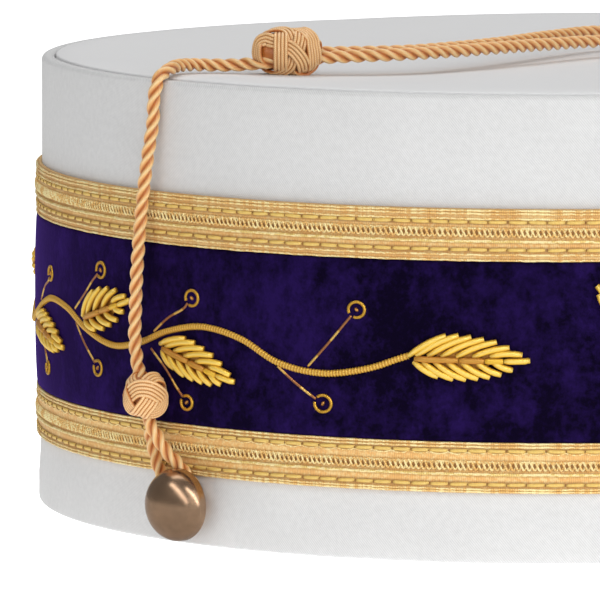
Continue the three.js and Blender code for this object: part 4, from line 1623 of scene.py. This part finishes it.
class CAP_OT_vines(bpy.types.Operator):
    """Couch the ribbed stems and the wire tendrils on both sides."""

    bl_idname = "cap.vines"
    bl_label = "Stems and tendrils"

    def execute(self, context):
        sizes = context.scene.cap_goldwork
        materials = make_materials(context)
        stem = stem_skin(sizes)
        coil = materials["bullion_stem"]
        make_piece("stem_left", [(stem, coil)], ["vine_left"])
        make_piece("stem_right", [(mirrored(stem), coil)], ["vine_right"])
        wires = tendril_skins(sizes)
        wire = materials["tendril_wire"]
        make_piece("tendrils_left", [(skin, wire) for skin in wires])
        make_piece("tendrils_right", [(mirrored(skin), wire) for skin in wires])
        return {"FINISHED"}


class CAP_OT_leaves(bpy.types.Operator):
    """Lay the leaves of coiled gold wire."""

    bl_idname = "cap.leaves"
    bl_label = "Leaves"

    def execute(self, context):
        sizes = context.scene.cap_goldwork
        purl = make_materials(context)["bullion_purl"]
        for i, row in enumerate(LEAVES):
            skins = [leaf_skin(row, sizes), pad_skin(row, sizes)]
            parts = [(skin, purl) for skin in skins]
            make_piece(f"purl_leaf_left_{i + 1}", parts, [f"leaf_left_{i + 1}"])
            other = [(mirrored(skin), purl) for skin in skins]
            make_piece(f"purl_leaf_right_{i + 1}", other, [f"leaf_right_{i + 1}"])
        for place, row in SPRIG.items():
            parts = [(leaf_skin(row, sizes), purl), (pad_skin(row, sizes), purl)]
            make_piece(f"purl_sprig_{place}", parts, [f"sprig_leaf_{place}"])
        return {"FINISHED"}


class CAP_OT_buttons(bpy.types.Operator):
    """Make the two domed buttons."""

    bl_idname = "cap.buttons"
    bl_label = "Buttons"

    def execute(self, context):
        brass = make_materials(context)["aged_brass"]
        for side in ("left", "right"):
            skin = button_skin(f"button_{side}")
            make_piece(f"domed_button_{side}", [(skin, brass)], [f"button_{side}"])
        return {"FINISHED"}


class CAP_OT_stage(bpy.types.Operator):
    """Lay the pale floor and set up the room light and the soft lights."""

    bl_idname = "cap.stage"
    bl_label = "Stage"

    def execute(self, context):
        stage = context.scene.cap_stage
        scene = context.scene
        scene.view_settings.view_transform = "Standard"
        scene.view_settings.look = "None"
        mesh = bpy.data.meshes.new("floor")
        reach = 12.0
        corners = [(-reach, -reach, 0), (reach, -reach, 0), (reach, reach, 0), (-reach, reach, 0)]
        mesh.from_pydata(corners, [], [(0, 1, 2, 3)])
        mesh.materials.append(floor_material(tuple(scene.cap_colours.floor)))
        floor = bpy.data.objects.new("floor", mesh)
        scene.collection.objects.link(floor)
        scene.world = white_room(stage.room_light)
        for name, place, size, power in BOX_LIGHTS:
            soft_light(name, place, LIGHT_AIM, size, power)
        for name, start, end, width, power in STRIP_LIGHTS:
            strip_light(name, start, end, LIGHT_AIM, width, power)
        return {"FINISHED"}


class CAP_PT_panel(bpy.types.Panel):
    """Settings and steps of the cap."""

    bl_idname = "CAP_PT_panel"
    bl_label = "Ceremonial cap"
    bl_space_type = "VIEW_3D"
    bl_region_type = "UI"
    bl_category = "Cap"

    def draw(self, context):
        layout = self.layout
        for name in ("cap_cloth", "cap_lace", "cap_goldwork", "cap_cord", "cap_colours", "cap_stage"):
            group = getattr(context.scene, name)
            box = layout.box()
            box.label(text=name.replace("_", " "))
            for key in group.__annotations__:
                box.prop(group, key)
        for operator in OPERATORS:
            layout.operator(operator.bl_idname)


GROUPS = {
    "cap_cloth": ClothSizes,
    "cap_lace": LaceSizes,
    "cap_goldwork": GoldworkSizes,
    "cap_cord": CordSizes,
    "cap_colours": FinishColours,
    "cap_stage": StageSizes,
}
OPERATORS = (
    CAP_OT_camera,
    CAP_OT_cords,
    CAP_OT_cloth,
    CAP_OT_velvet,
    CAP_OT_lace,
    CAP_OT_vines,
    CAP_OT_leaves,
    CAP_OT_buttons,
    CAP_OT_stage,
)


def register():
    for name, group in GROUPS.items():
        bpy.utils.register_class(group)
        setattr(bpy.types.Scene, name, bpy.props.PointerProperty(type=group))
    for operator in OPERATORS:
        bpy.utils.register_class(operator)
    bpy.utils.register_class(CAP_PT_panel)


def unregister():
    bpy.utils.unregister_class(CAP_PT_panel)
    for operator in reversed(OPERATORS):
        bpy.utils.unregister_class(operator)
    for name, group in reversed(GROUPS.items()):
        delattr(bpy.types.Scene, name)
        bpy.utils.unregister_class(group)


def main():
    register()
    bpy.ops.cap.camera()
    bpy.ops.cap.cords()
    bpy.ops.cap.cloth()
    bpy.ops.cap.velvet()
    bpy.ops.cap.lace()
    bpy.ops.cap.vines()
    bpy.ops.cap.leaves()
    bpy.ops.cap.buttons()
    bpy.ops.cap.stage()


if __name__ == "__main__":
    main()
